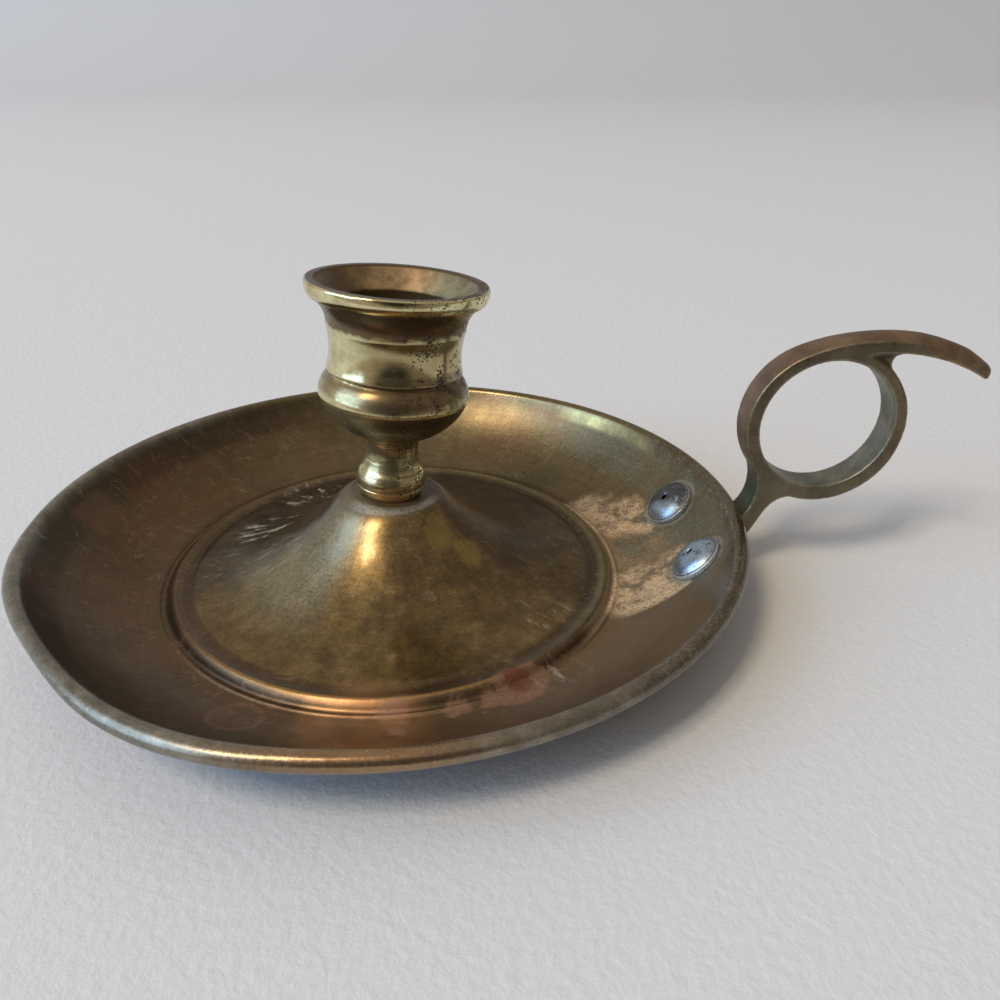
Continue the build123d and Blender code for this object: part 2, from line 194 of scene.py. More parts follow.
leaned = add(lathe, "FunctionNodeAlignRotationToVector", {"axis": "Z"}, {"Vector": given["Axis"]})
placing = {"Geometry": closed, "Translation": given["Seat"], "Rotation": leaned}
seated = add(lathe, "GeometryNodeTransform", None, placing)
smooth = add(lathe, "GeometryNodeSetShadeSmooth", None, {"Geometry": seated})
whole = add(lathe, "GeometryNodeRealizeInstances", None, {"Geometry": smooth})
finished = add(lathe, "GeometryNodeSetMaterial", None, {"Geometry": whole, "Material": given["Finish"]})
add(lathe, "NodeGroupOutput", None, {"Turned": finished})


def plain_object(name, vertices, edges=(), faces=()):
    """A new object at the origin, linked into the scene."""
    mesh = bpy.data.meshes.new(name)
    mesh.from_pydata(vertices, edges, faces)
    made = bpy.data.objects.new(name, mesh)
    bpy.context.scene.collection.objects.link(made)
    return made


def settle(made):
    """Turns an object's modifiers into its plain mesh, with every face pointing outwards."""
    evaluated = made.evaluated_get(bpy.context.evaluated_depsgraph_get())
    mesh = bpy.data.meshes.new_from_object(evaluated)
    made.modifiers.clear()
    made.data = mesh
    shape = bmesh.new()
    shape.from_mesh(mesh)
    bmesh.ops.recalc_face_normals(shape, faces=shape.faces)
    shape.to_mesh(mesh)
    shape.free()
    mesh.name = made.name
    return made


def grown(name, tree, outline, sizes):
    """Runs a node tree on an outline given in millimetres, and keeps the result as a plain mesh."""
    made = plain_object(name, [(x * MM, 0, z * MM) for x, z in outline])
    modifier = made.modifiers.new(name, "NODES")
    modifier.node_group = tree
    for item in tree.interface.items_tree:
        if item.in_out == "INPUT" and item.name in sizes:
            modifier[item.identifier] = sizes[item.name]
    made.update_tag()
    return settle(made)


def new_finish(name):
    """A new material with an empty tree."""
    finish = bpy.data.materials.new(name)
    finish.use_nodes = True
    finish.node_tree.nodes.clear()
    return finish, finish.node_tree


def in_millimetres(tree):
    """Each place on a piece, in millimetres."""
    place = add(tree, "ShaderNodeTexCoord").outputs["Object"]
    return add(tree, "ShaderNodeVectorMath", {"operation": "SCALE"}, {0: place, "Scale": 1 / MM})


def about_axis(tree, place):
    """A place seen along the axis, its distance from the axis and its direction from it."""
    flat = add(tree, "ShaderNodeVectorMath", {"operation": "MULTIPLY"}, {0: place, 1: (1.0, 1.0, 0.0)})
    radius = add(tree, "ShaderNodeVectorMath", {"operation": "LENGTH"}, {0: flat}).outputs["Value"]
    return flat, radius, add(tree, "ShaderNodeVectorMath", {"operation": "NORMALIZE"}, {0: flat})


# Spun sheet brass, long unpolished: dull brown patina, rubbed golden on the boss, olive at the back and
# grey on the rim, with faint rings from the spinning tool, dry residue, and a crust round the rivets.
# Some light is painted too: highlights on rim and step, reflections, and shade in the creases and under the
# rim.
pan_finish, tree = new_finish("patinated_spun_brass")
mm = in_millimetres(tree)
flat, radius, outward = about_axis(tree, mm)

# mottling at three sizes: cloudy patches, blots and the grain of the tarnish
clouds, blots, grain = (
    add(
        tree,
        "ShaderNodeTexNoise",
        None,
        {"Vector": mm, "Scale": 1 / size, "Detail": detail, "Roughness": rough},
    )
    for size, detail, rough in ((16, 5.0, 0.6), (4.5, 6.0, 0.68), (0.6, 4.0, 0.75))
)
blotches = add(tree, "ShaderNodeSeparateColor", None, {0: clouds.outputs["Color"]}).outputs

# the edges of marks wander by a few millimetres
RAGGED = (7.0, 7.0, 0.0)
HALF = (0.5, 0.5, 0.5)
shifted = add(tree, "ShaderNodeVectorMath", {"operation": "SUBTRACT"}, {0: blots.outputs["Color"], 1: HALF})
ragged = add(tree, "ShaderNodeVectorMath", {"operation": "MULTIPLY_ADD"}, {0: shifted, 1: RAGGED, 2: flat})
ragged_way = add(tree, "ShaderNodeVectorMath", {"operation": "NORMALIZE"}, {0: ragged})

# lines left by the spinning tool run round the axis, wiping marks and runs of wax go out from it, and short
# scuffs lie across the tray
ring_way = add(tree, "ShaderNodeCombineXYZ", None, {"Z": radius})
wipe_way = add(tree, "ShaderNodeVectorMath", {"operation": "SCALE"}, {0: ragged, "Scale": 0.02})
drawn_out = add(tree, "ShaderNodeMath", {"operation": "MULTIPLY"}, {0: radius, 1: 0.16})
run_way = add(tree, "ShaderNodeCombineXYZ", None, {"Z": drawn_out})
ring_place, wipe_place, run_place = (
    add(tree, "ShaderNodeVectorMath", {"operation": "MULTIPLY_ADD"}, {0: outward, 1: (by, by, 0.0), 2: way})
    for way, by in ((ring_way, 1.5), (wipe_way, 14.0), (run_way, 17.0))
)
scuff_place = add(
    tree,
    "ShaderNodeMapping",
    {"vector_type": "POINT"},
    {"Vector": ragged, "Rotation": (0.0, 0.0, radians(-38.0)), "Scale": (0.25, 2.2, 1.0)},
)
rings, wipes, runs, scuffs = (
    add(
        tree,
        "ShaderNodeTexNoise",
        None,
        {"Vector": place, "Scale": scale, "Detail": detail, "Roughness": rough},
    )
    for place, scale, detail, rough in (
        (ring_place, 1.4, 3.0, 0.7),
        (wipe_place, 1.0, 5.0, 0.7),
        (run_place, 1.0, 5.0, 0.6),
        (scuff_place, 1.0, 4.0, 0.7),
    )
)

# how the patterns break up each mark or colour: the pattern, the two values between which the mark comes in,
# and its share at the first and at the second
patchy = {
    mark: add(tree, "ShaderNodeMapRange", None, {0: pattern, 1: low, 2: high, 3: least, 4: most})
    for mark, pattern, low, high, least, most in (
        ("gilding", blots, 0.3, 0.7, 0.0, 1.0),
        ("brown_patches", clouds, 0.44, 0.62, 0.0, 0.5),
        ("pale_rim", blots, 0.35, 0.65, 0.0, 1.0),
        ("wiping", wipes, 0.35, 0.7, 0.88, 1.1),
        ("tool_rings", rings, 0.3, 0.7, 0.88, 1.1),
        ("tarnish_grain", grain, 0.3, 0.7, 0.76, 1.18),
        ("crease_dust", grain, 0.3, 0.6, 0.3, 0.9),
        ("red_blotches", blotches["Red"], 0.46, 0.62, 0.0, 0.5),
        ("green_blotches", blotches["Blue"], 0.46, 0.62, 0.0, 0.5),
        ("scuffs", scuffs, 0.55, 0.65, 0.0, 0.55),
        ("scuffed_blots", blots, 0.43, 0.6, 0.0, 1.0),
        ("bloom", grain, 0.3, 0.65, 0.3, 0.95),
        ("wax_runs", runs, 0.525, 0.63, 0.0, 0.75),
        ("wax_grain", grain, 0.35, 0.55, 0.45, 1.0),
        ("scratches", wipes, 0.55, 0.68, 0.0, 0.4),
        ("scratched_blots", blots, 0.45, 0.62, 0.0, 1.0),
        ("boss_left_painted_reflection", grain, 0.3, 0.7, 0.15, 0.75),
        ("sand_grain", grain, 0.35, 0.65, 0.0, 1.0),
        ("worn_patches", clouds, 0.42, 0.52, 0.0, 1.0),
        ("worn_blots", blots, 0.42, 0.56, 0.0, 1.0),
        ("gap_grain", grain, 0.47, 0.4, 0.0, 1.0),
        ("gap_blots", blots, 0.38, 0.52, 0.0, 1.0),
        ("crust_blots", blots, 0.36, 0.56, 0.3, 0.95),
        ("crust_grain", grain, 0.3, 0.65, 0.0, 1.0),
        ("pale_rivet_ring", grain, 0.35, 0.6, 0.2, 0.8),
        ("seat_dust", grain, 0.2, 0.6, 0.3, 0.7),
        ("seat_edge", grain, 0.3, 0.6, 0.0, 1.0),
        ("pitting", clouds, 0.5, 0.9, 0.0, 1.0),
        ("speck_size", blots, 0.52, 0.75, 0.0, 0.16),
        ("rim_grains", grain, 0.54, 0.62, 0.0, 1.0),
        ("rim_blots", blots, 0.4, 0.56, 0.0, 1.0),
        ("sheen", blots, 0.3, 0.7, 0.3, 0.42),
        ("sheen_grain", grain, 0.3, 0.7, 0.85, 1.15),
    )
}


def within(tree, value, low, high, fade):
    """A mask that is 1 where a value lies between two limits and fades out beyond them."""
    middle = add(tree, "ShaderNodeMath", {"operation": "SUBTRACT"}, {0: value, 1: (low + high) / 2})
    away = add(tree, "ShaderNodeMath", {"operation": "ABSOLUTE"}, {0: middle})
    half = (high - low) / 2
    limits = {"Value": away, "From Min": half + fade, "From Max": half}
    return add(tree, "ShaderNodeMapRange", {"interpolation_type": "SMOOTHSTEP"}, limits)


def band(tree, place, at, low, high, fade):
    """A mask that is 1 between two distances from a point and fades out beyond them, in millimetres."""
    away = add(tree, "ShaderNodeVectorMath", {"operation": "DISTANCE"}, {0: place, 1: at})
    return within(tree, away.outputs["Value"], low, high, fade)


def spot(tree, place, at, size, fade):
    """A mask that is 1 near a point and fades out to 0 at this distance from it, in millimetres."""
    return band(tree, place, at, fade - size, size - fade, fade)


def facing(tree, way, azimuth, half_angle, fade):
    """A mask that is 1 on one side of the axis: within an angle of an azimuth, all in degrees."""
    side = (cos(radians(azimuth)), sin(radians(azimuth)), 0.0)
    along = add(tree, "ShaderNodeVectorMath", {"operation": "DOT_PRODUCT"}, {0: way, 1: side})
    edge, core = cos(radians(half_angle + fade)), cos(radians(half_angle))
    limits = {"Value": along.outputs["Value"], "From Min": edge, "From Max": core}
    return add(tree, "ShaderNodeMapRange", {"interpolation_type": "SMOOTHSTEP"}, limits)


def overlap(tree, *masks):
    """The share of a surface that all these masks cover, some of them given as plain numbers."""
    share = masks[0]
    for mask in masks[1:]:
        share = add(tree, "ShaderNodeMath", {"operation": "MULTIPLY"}, {0: share, 1: mask})
    return share


def either(tree, *masks):
    """The share of a surface that any of these masks covers."""
    share = masks[0]
    for mask in masks[1:]:
        share = add(tree, "ShaderNodeMath", {"operation": "MAXIMUM"}, {0: share, 1: mask})
    return share


def stains(tree, place, *rows):
    """A mask of round marks, each with its x, y, size and fade in millimetres, and its share if weak."""
    rounds = [
        overlap(tree, spot(tree, place, (x, y, 0.0), size, fade), *weak) for x, y, size, fade, *weak in rows
    ]
    return either(tree, *rounds)


def painted(tree, tone, coats):
    """Lays hex colours or other tones over a tone one after another, each by its own mask."""
    tone = linear(tone) if isinstance(tone, str) else tone
    for share, colour in coats:
        over = linear(colour) if isinstance(colour, str) else colour
        tone = add(tree, "ShaderNodeMix", {"data_type": "RGBA"}, {0: share, 6: tone, 7: over}).outputs[2]
    return tone


def shaded(tree, tone, *factors):
    """Makes a tone lighter and darker by these factors."""
    for factor in factors:
        tone = add(tree, "ShaderNodeVectorMath", {"operation": "SCALE"}, {0: tone, "Scale": factor})
    return tone


# what has been spilt, rubbed or left standing marks the upper side only
upper = add(tree, "ShaderNodeAttribute", {"attribute_name": "upper"}).outputs["Fac"]

# the metal: brown on the left, olive at the right and back, golden on the boss, grey on the rim, partly as
# painted light
on_boss = within(tree, radius, -45.0, 38.0, 8.0)
on_step = within(tree, radius, 44.7, 45.1, 0.5)
on_rim = within(tree, radius, 69.4, 80.0, 1.2)
olive = facing(tree, ragged_way, 50.0, 55.0, 50.0)
brown_tone = painted(tree, "#594834", [(clouds, "#79644d")])
olive_tone = painted(tree, "#5a4d36", [(clouds, "#877c5c")])
gold_tone = painted(tree, "#594a32", [(patchy["gilding"], "#8f794a"), (patchy["brown_patches"], "#513f29")])
rim_tone = painted(tree, "#6f6c61", [(patchy["pale_rim"], "#8f8c7f")])
# the rim is worn grey on its left; on its front right it is painted grey as painted light
worn_left = overlap(tree, facing(tree, outward, -165.0, 50.0, 25.0), on_rim)
rim_right_painted_light = overlap(tree, facing(tree, outward, -50.0, 20.0, 16.0), on_rim, 0.85)
rim_wear_and_painted_light = either(tree, worn_left, rim_right_painted_light)
# painted highlights: copper on the rim's front and gold along the step's front edge
rim_painted_highlight = overlap(tree, facing(tree, outward, -100.0, 22.0, 22.0), on_rim, 0.7)
step_painted_highlight = overlap(tree, on_step, facing(tree, outward, -97.0, 22.0, 28.0), 0.55)
tone = painted(
    tree,
    brown_tone,
    [
        (olive, olive_tone),
        (on_boss, gold_tone),
        (rim_painted_highlight, "#b2926f"),
        (rim_wear_and_painted_light, rim_tone),
        (step_painted_highlight, "#c09a5e"),
    ],
)
tone = shaded(tree, tone, patchy["wiping"], patchy["tool_rings"], patchy["tarnish_grain"])

# darker places: painted shade on the boss's right behind the socket, a darker patch on the boss's far left,
# and painted shade in a band under the rim from the left to the back and in the creases
boss_right_painted_shade = overlap(
    tree, facing(tree, ragged_way, 27.0, 50.0, 5.0), within(tree, radius, -44.5, 43.0, 1.5), 0.62
)
dark_left = overlap(
    tree, facing(tree, ragged_way, 150.0, 40.0, 14.0), within(tree, radius, 13.0, 41.0, 4.0), 0.55
)
under_rim_painted_shade = overlap(
    tree, facing(tree, outward, 175.0, 48.0, 30.0), within(tree, radius, 65.5, 68.6, 1.6), 0.6
)
crease_painted_shade = either(
    tree,
    overlap(tree, within(tree, radius, 46.0, 46.8, 0.5), 0.7),
    overlap(tree, within(tree, radius, 41.8, 43.0, 0.9), 0.45),
)
tone = painted(
    tree,
    tone,
    [(boss_right_painted_shade, "#3c2c1c"), (dark_left, "#3a3023"), (under_rim_painted_shade, "#37322a"), (crease_painted_shade, "#392d20")],
)

# two golden patches on the boss's front right, dust in the crease on the right, a painted pool of light on
# the tray's front, and a painted reflection in a strip under the rim at the back right
golden_patches = overlap(tree, stains(tree, ragged, (10.0, -9.8, 3.6, 1.2), (15.5, -11.1, 3.2, 1.2)), upper, 0.6)
dusty_crease = overlap(
    tree,
    within(tree, radius, 45.8, 47.2, 0.5),
    facing(tree, outward, -4.0, 24.0, 12.0),
    upper,
    patchy["crease_dust"],
)
# a painted pool of light on the front of the tray
front_tray_painted_light = overlap(tree, upper, stains(tree, ragged, (-3.0, -54.0, 16.0, 8.0)), 0.8)
# a painted reflection in a strip under the back right of the rim
back_rim_painted_reflection = overlap(
    tree, upper, within(tree, radius, 68.2, 68.8, 1.0), facing(tree, ragged_way, 39.5, 2.0, 13.0), 0.75
)
tone = painted(
    tree,
    tone,
    [(golden_patches, "#8f7c40"), (dusty_crease, "#968a74"), (front_tray_painted_light, "#b98c62"), (back_rim_painted_reflection, "#ded795")],
)

# uneven colour on the tray: reddish and olive blotches, a right side made paler as painted light, and short
# pale scuffs all over
off_boss = within(tree, radius, 48.0, 68.0, 3.0)
reddish = overlap(tree, off_boss, patchy["red_blotches"])
greenish = overlap(tree, off_boss, patchy["green_blotches"])
# the tray's right side is made paler as painted light
right_tray_painted_light = overlap(tree, off_boss, facing(tree, ragged_way, -42.0, 30.0, 30.0), 0.4)
scuffed = overlap(tree, patchy["scuffs"], patchy["scuffed_blots"])
tone = painted(
    tree,
    tone,
    [(reddish, "#644634"), (greenish, "#4c4733"), (right_tray_painted_light, "#8f785b"), (scuffed, "#a99c87")],
)

# dry pink bloom where wet things stood, left in the crease at the front and on the tray, with a round drop
# mark at the front left
DROP_AT = (-23.7, -47.6, 0.0)
wet = stains(
    tree,
    ragged,
    (23.5, -41.8, 5.0, 1.6),
    (27.0, -38.5, 3.4, 1.6),
    (19.0, -44.0, 3.0, 1.6),
    (13.5, -46.0, 2.6, 1.6),
    (2.6, -46.6, 3.4, 1.6),
    (3.4, -51.0, 2.4, 1.6),
)
rust = overlap(tree, stains(tree, ragged, (24.0, -39.6, 3.4, 1.6)), 0.8)
drop_mark = either(
    tree,
    band(tree, flat, DROP_AT, 4.0, 4.5, 0.5),
    overlap(tree, band(tree, flat, DROP_AT, -4.2, 4.2, 0.3), 0.4),
)
faded = overlap(
    tree,
    stains(tree, ragged, (-67.0, 9.0, 6.0, 3.0), (-65.5, 12.5, 5.0, 3.0)),
    within(tree, radius, 56.0, 67.6, 0.8),
)
bloom = patchy["bloom"]
pink = either(
    tree, overlap(tree, wet, bloom), overlap(tree, drop_mark, bloom, 0.5), overlap(tree, faded, bloom, 0.4)
)

# pale wax streaks run down the boss's left flank, and a grey-green painted reflection of the window lies
# beside them
waxy = stains(
    tree,
    ragged,
    (-22.5, 30.0, 9.0, 3.0),
    (-28.5, 11.0, 8.0, 3.0),
    (-32.5, -6.5, 4.5, 2.0),
    (-22.0, -5.0, 9.0, 5.0, 0.35),
    (31.0, -21.5, 6.0, 3.0, 0.8),
    (32.0, -38.0, 6.0, 3.0, 0.7),
)
streaks = overlap(tree, waxy, patchy["wax_runs"], patchy["wax_grain"])
scratches = overlap(
    tree,
    facing(tree, ragged_way, -158.0, 38.0, 20.0),
    within(tree, radius, 13.0, 37.0, 4.0),
    patchy["scratches"],
    patchy["scratched_blots"],
)
# a grey-green painted reflection of the window on the boss's left flank
boss_left_painted_reflection = overlap(
    tree,
    facing(tree, ragged_way, -146.0, 14.0, 22.0),
    within(tree, radius, 11.0, 26.0, 12.0),
    patchy["boss_left_painted_reflection"],
)

# tan granular patch between step and rivets, cut off along a straight line on its near side, with worn gaps
PATCH_SIDE = (-0.2655, 0.9641, 0.0)
PATCH_EDGE = -33.6
PATCH_EDGE_W = 0.6
patch_way = add(tree, "ShaderNodeVectorMath", {"operation": "DOT_PRODUCT"}, {0: flat, 1: PATCH_SIDE})
patch_limits = {0: patch_way.outputs["Value"], 1: PATCH_EDGE, 2: PATCH_EDGE + PATCH_EDGE_W}
sandy = overlap(
    tree,
    stains(
        tree,
        ragged,
        (45.0, 22.0, 7.5, 3.0),
        (51.0, 16.0, 9.0, 4.0),
        (56.5, 11.0, 6.0, 3.0),
        (53.0, -12.5, 11.0, 4.0),
        (48.0, -14.0, 9.0, 4.0),
        (59.5, -7.0, 6.0, 3.0),
        (52.0, 2.0, 13.0, 6.0, 0.45),
    ),
    add(tree, "ShaderNodeMapRange", None, patch_limits),
    within(tree, radius, 47.2, 62.0, 1.0),
)
sand_tone = painted(tree, "#a0886a", [(patchy["sand_grain"], "#d8be9b")])
worn_through = overlap(
    tree, patchy["worn_patches"], patchy["worn_blots"], within(tree, radius, 49.0, 70.0, 2.0), 0.75
)
gaps = overlap(tree, patchy["gap_grain"], patchy["gap_blots"], 0.8)

# dark green crust round the two rivets and up to the rim behind them
crust = either(
    tree,
    stains(
        tree,
        ragged,
        (62.6, 12.6, 9.5, 4.5),
        (62.4, -12.2, 8.0, 4.0),
        (66.5, 2.0, 12.0, 5.0, 0.8),
        (54.0, 4.0, 7.0, 4.0, 0.7),
    ),
    overlap(tree, facing(tree, ragged_way, 22.0, 18.0, 12.0), within(tree, radius, 63.0, 68.5, 2.5), 0.6),
)
crust = overlap(tree, crust, patchy["crust_blots"])
crust_tone = painted(tree, "#31342a", [(patchy["crust_grain"], "#6e7160")])

# a pale ring lies against each rivet's head
rivet_rings = [band(tree, mm, head, 5.7, 6.4, 0.5) for head in RIVET_HEADS]
pale_rivet_ring = overlap(tree, either(tree, *rivet_rings), patchy["pale_rivet_ring"])

# grey flux and dust on the seat round the socket's foot, palest along its edge
SEAT_AT = (0.0, 0.0, SEAT_HEIGHT)
seat_grey = overlap(tree, band(tree, mm, SEAT_AT, -9.6, 9.6, 1.8), patchy["seat_dust"])
seat_edge = overlap(
    tree,
    band(tree, mm, SEAT_AT, 8.6, 9.6, 0.8),
    facing(tree, outward, -75.0, 40.0, 40.0),
    patchy["seat_edge"],
)
marks = (
    (boss_left_painted_reflection, "#8b8c79"),
    (sandy, sand_tone),
    (overlap(tree, sandy, either(tree, worn_through, gaps)), "#4a4230"),
    (crust, crust_tone),
    (pale_rivet_ring, "#8f9081"),
    (pink, "#8d6a58"),
    (rust, "#6b3f28"),
    (scratches, "#a9a696"),
    (streaks, "#c6c1b7"),
    (seat_grey, "#594b3a"),
    (seat_edge, "#98948c"),
)
tone = painted(tree, tone, [(overlap(tree, upper, share), colour) for share, colour in marks])

# small dark pits, paler dots thick on the dark right of the rim, and specks of old polish on the boss
pits = add(tree, "ShaderNodeTexVoronoi", {"feature": "F1"}, {"Vector": mm, "Scale": 1 / 0.75})
speckled = overlap(tree, facing(tree, outward, -12.0, 30.0, 22.0), on_rim)
pitted = either(tree, speckled, patchy["pitting"])
pit_size = add(tree, "ShaderNodeMapRange", None, {0: pitted, 3: 0.05, 4: 0.26})
pit = add(tree, "ShaderNodeMath", {"operation": "LESS_THAN"}, {0: pits.outputs["Distance"], 1: pit_size})
specks = add(tree, "ShaderNodeTexVoronoi", {"feature": "F1"}, {"Vector": mm, "Scale": 1 / 2.3})
speck_limits = {0: specks.outputs["Distance"], 1: patchy["speck_size"]}
speck = add(tree, "ShaderNodeMath", {"operation": "LESS_THAN"}, speck_limits)
plain = add(tree, "ShaderNodeMath", {"operation": "SUBTRACT"}, {0: 1.0, 1: speckled})
pale_grains = overlap(tree, patchy["rim_grains"], patchy["rim_blots"])
tone = painted(
    tree,
    tone,
    [
        (overlap(tree, speckled, 0.55), "#4d4031"),
        (overlap(tree, pit, plain, 0.45), "#2f261c"),
        (overlap(tree, pale_grains, speckled, 0.55), "#b3a48c"),
        (overlap(tree, speck, 0.5), "#b9b09c"),
    ],
)

# dry residue and the painted reflection on the boss's left don't shine as metal does, the rim is rubbed
# smooth, and the boss keeps a film of old lacquer
dry = either(
    tree,
    pink,
    sandy,
    streaks,
    crust,
    seat_grey,
    overlap(tree, boss_left_painted_reflection, 0.4),
    overlap(tree, dusty_crease, 0.7),
    overlap(tree, rim_wear_and_painted_light, 0.18),
)
dry = overlap(tree, upper, dry)
metal = add(tree, "ShaderNodeMapRange", None, {0: dry, 3: 0.86, 4: 0.35})
sheen = patchy["sheen"]
for share, rough in ((on_boss, 0.3), (on_rim, 0.24), (dry, 0.62)):
    sheen = add(tree, "ShaderNodeMix", {"data_type": "FLOAT"}, {0: share, 2: sheen, 3: rough})
sheen = overlap(tree, sheen, patchy["sheen_grain"])
lacquer = add(tree, "ShaderNodeMapRange", None, {0: dry, 3: 0.3, 4: 0.0})
lacquer = overlap(tree, on_boss, lacquer, facing(tree, outward, -100.0, 50.0, 50.0))
uneven = add(tree, "ShaderNodeMath", {"operation": "MULTIPLY_ADD"}, {0: rings, 1: 0.5, 2: grain})
uneven = overlap(tree, uneven, add(tree, "ShaderNodeMapRange", None, {0: on_boss, 3: 1.0, 4: 0.45}))
caked = overlap(tree, dry, blots)
crumbs = add(tree, "ShaderNodeMath", {"operation": "MULTIPLY_ADD"}, {0: caked, 1: 1.5, 2: uneven})
bump = add(tree, "ShaderNodeBump", None, {"Strength": 0.22, "Distance": 0.00012, "Height": crumbs})
swells = {"Strength": 0.3, "Distance": 0.0006, "Height": clouds, "Normal": bump}
waves = add(tree, "ShaderNodeBump", None, swells)


def surface(tree, looks):
    """Ends a material's tree with its shader."""
    shader = add(tree, "ShaderNodeBsdfPrincipled", None, looks)
    add(tree, "ShaderNodeOutputMaterial", None, {"Surface": shader})


surface(
    tree,
    {
        "Base Color": tone,
        "Metallic": metal,
        "Roughness": sheen,
        "Normal": waves,
        "Coat Weight": lacquer,
        "Coat Roughness": 0.1,
    },
)

pan = grown(
    "drip_pan",
    lathe,
    pan_meridian + pan_meridian[:1],
    {"Turn steps": 240, "Axis": (0.0, 0.0, 1.0), "Finish": pan_finish},
)

# the boss's top is hammered flat, square to the leaning socket
seat_point = Vector((0, 0, SEAT_HEIGHT)) * MM
for vertex in pan.data.vertices:
    from_axis = sqrt(vertex.co.x**2 + vertex.co.y**2) / MM
    if from_axis < CROWN_R:
        to_crown = (vertex.co - Vector((0, 0, crown_z * MM))).length / MM
        under = SHEET if to_crown < CROWN_R - SHEET / 2 else 0.0
        above = (vertex.co - seat_point).dot(lean_axis) + under * MM
        if above > 0:
            vertex.co -= lean_axis * above


def swell(azimuth, centre, half_width):
    """1 at one azimuth, falling smoothly to 0 at this angle on either side of it, in degrees."""
    away = abs((azimuth - centre + 180) % 360 - 180)
    return cos(min(away / half_width, 1) * pi / 2) ** 2


# the rim has been knocked flat at its front left, and bulges a little on both sides of the flat: the azimuth,
# half width and outward push of each, felt more and more from the middle of the tray to the rim
KNOCKS = ((-112.0, 21.0, 0.6), (-141.0, 19.0, -1.05), (-166.0, 13.0, 0.35))
LOOSE_FROM = 56.0
LOOSE_RUN = 15.0
for vertex in pan.data.vertices:
    from_axis = sqrt(vertex.co.x**2 + vertex.co.y**2) / MM
    loose = max(0.0, (from_axis - LOOSE_FROM) / LOOSE_RUN) ** 2
    azimuth = degrees(atan2(vertex.co.y, vertex.co.x))
    knock = sum(push * swell(azimuth, centre, half_width) for centre, half_width, push in KNOCKS)
    spread = 1 + knock * loose / max(from_axis, 1.0)
    vertex.co.x *= spread
    vertex.co.y *= spread
upper_side = pan.data.attributes.new("upper", "FLOAT", "POINT")
for vertex, share in zip(pan.data.vertices, upper_side.data):
    share.value = min(max(4 * vertex.normal.z, 0.0), 1.0)
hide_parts("pan")
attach(pan, "base")


# Candle socket
# Turned from brass bar in one piece: foot, stem, beaded cup, waisted neck, flared lip and candle bore.
# It screws down on a stud through the boss, and has been knocked a few degrees out of upright.
SOCKET_H = 42.9
LIP_R = 17.3
LIP_ROUND = 0.5
BORE_R = 11.0
FOOT_R = 6.2
CUP_BASE = 13.0
RIDGE = 21.2
GROOVE = 25.0
NECK_FOOT = 26.2
NECK_TOP = 34.5
LIP_FOOT = 40.0
MOUTH = 38.9
BORE_FLOOR = 17.9
STUD_HOLE_H = 10.5


def bowed(start, middle, end, count):
    """Points of the circular arc through three points of a profile."""
    (ax, az), (bx, bz), (cx, cz) = start, middle, end
    d = 2 * (ax * (bz - cz) + bx * (cz - az) + cx * (az - bz))
    a2, b2, c2 = ax**2 + az**2, bx**2 + bz**2, cx**2 + cz**2
    x = (a2 * (bz - cz) + b2 * (cz - az) + c2 * (az - bz)) / d
    z = (a2 * (cx - bx) + b2 * (ax - cx) + c2 * (bx - ax)) / d
    from_a = degrees(atan2(az - z, ax - x))
    to_b = (degrees(atan2(bz - z, bx - x)) - from_a) % 360
    to_c = (degrees(atan2(cz - z, cx - x)) - from_a) % 360
    sweep = to_c if to_b < to_c else to_c - 360
    return arc(x, z, sqrt((ax - x) ** 2 + (az - z) ** 2), from_a, from_a + sweep, count)


socket_profile = (
    [(FOOT_R, 0), (6.5, 0.9), (6.78, 1.8), (6.72, 2.0), (6.6, 2.1), (6.74, 2.2), (6.9, 2.4)]
    + bowed((6.98, 2.7), (7.0, 3.1), (6.125, 5.8), 14)
    + bowed((6.125, 5.8), (5.25, 9.4), (5.7, CUP_BASE), 14)[1:]
    + bowed((5.7, CUP_BASE), (11.4, 15.9), (14.7, RIDGE), 26)[1:]
    + bowed((14.7, RIDGE), (14.4, 23.2), (13.3, GROOVE), 14)[1:]
    + [(12.75, 25.45), (12.6, 25.6), (12.75, 25.75)]
    + bowed((13.15, NECK_FOOT), (12.7, 30.35), (13.3, NECK_TOP), 20)
    + bowed((13.3, NECK_TOP), (14.25, 37.9), (16.4, LIP_FOOT - 0.08), 16)[1:]
    + [(16.52, LIP_FOOT - 0.06), (16.62, LIP_FOOT + 0.02)]
    + bowed((16.7, LIP_FOOT + 0.12), (17.16, LIP_FOOT + 1.1), (LIP_R, SOCKET_H - LIP_ROUND), 14)
    + arc(LIP_R - LIP_ROUND, SOCKET_H - LIP_ROUND, LIP_ROUND, 0, 90, 10)[1:]
    + [(LIP_R - 1.0, SOCKET_H), (LIP_R - 1.8, SOCKET_H)]
    + [(LIP_R - 2.0, SOCKET_H - 0.06), (LIP_R - 2.15, SOCKET_H - 0.25)]
    + [(BORE_R + 0.15, MOUTH + 0.2), (BORE_R, MOUTH), (BORE_R, MOUTH - 0.3)]
    + [(BORE_R, BORE_FLOOR + 0.6), (BORE_R - 0.15, BORE_FLOOR + 0.15), (BORE_R - 0.6, BORE_FLOOR)]
    + [(0, BORE_FLOOR), (0, STUD_HOLE_H), (STUD_HOLE_R, STUD_HOLE_H), (STUD_HOLE_R, 0), (FOOT_R, 0)]
)

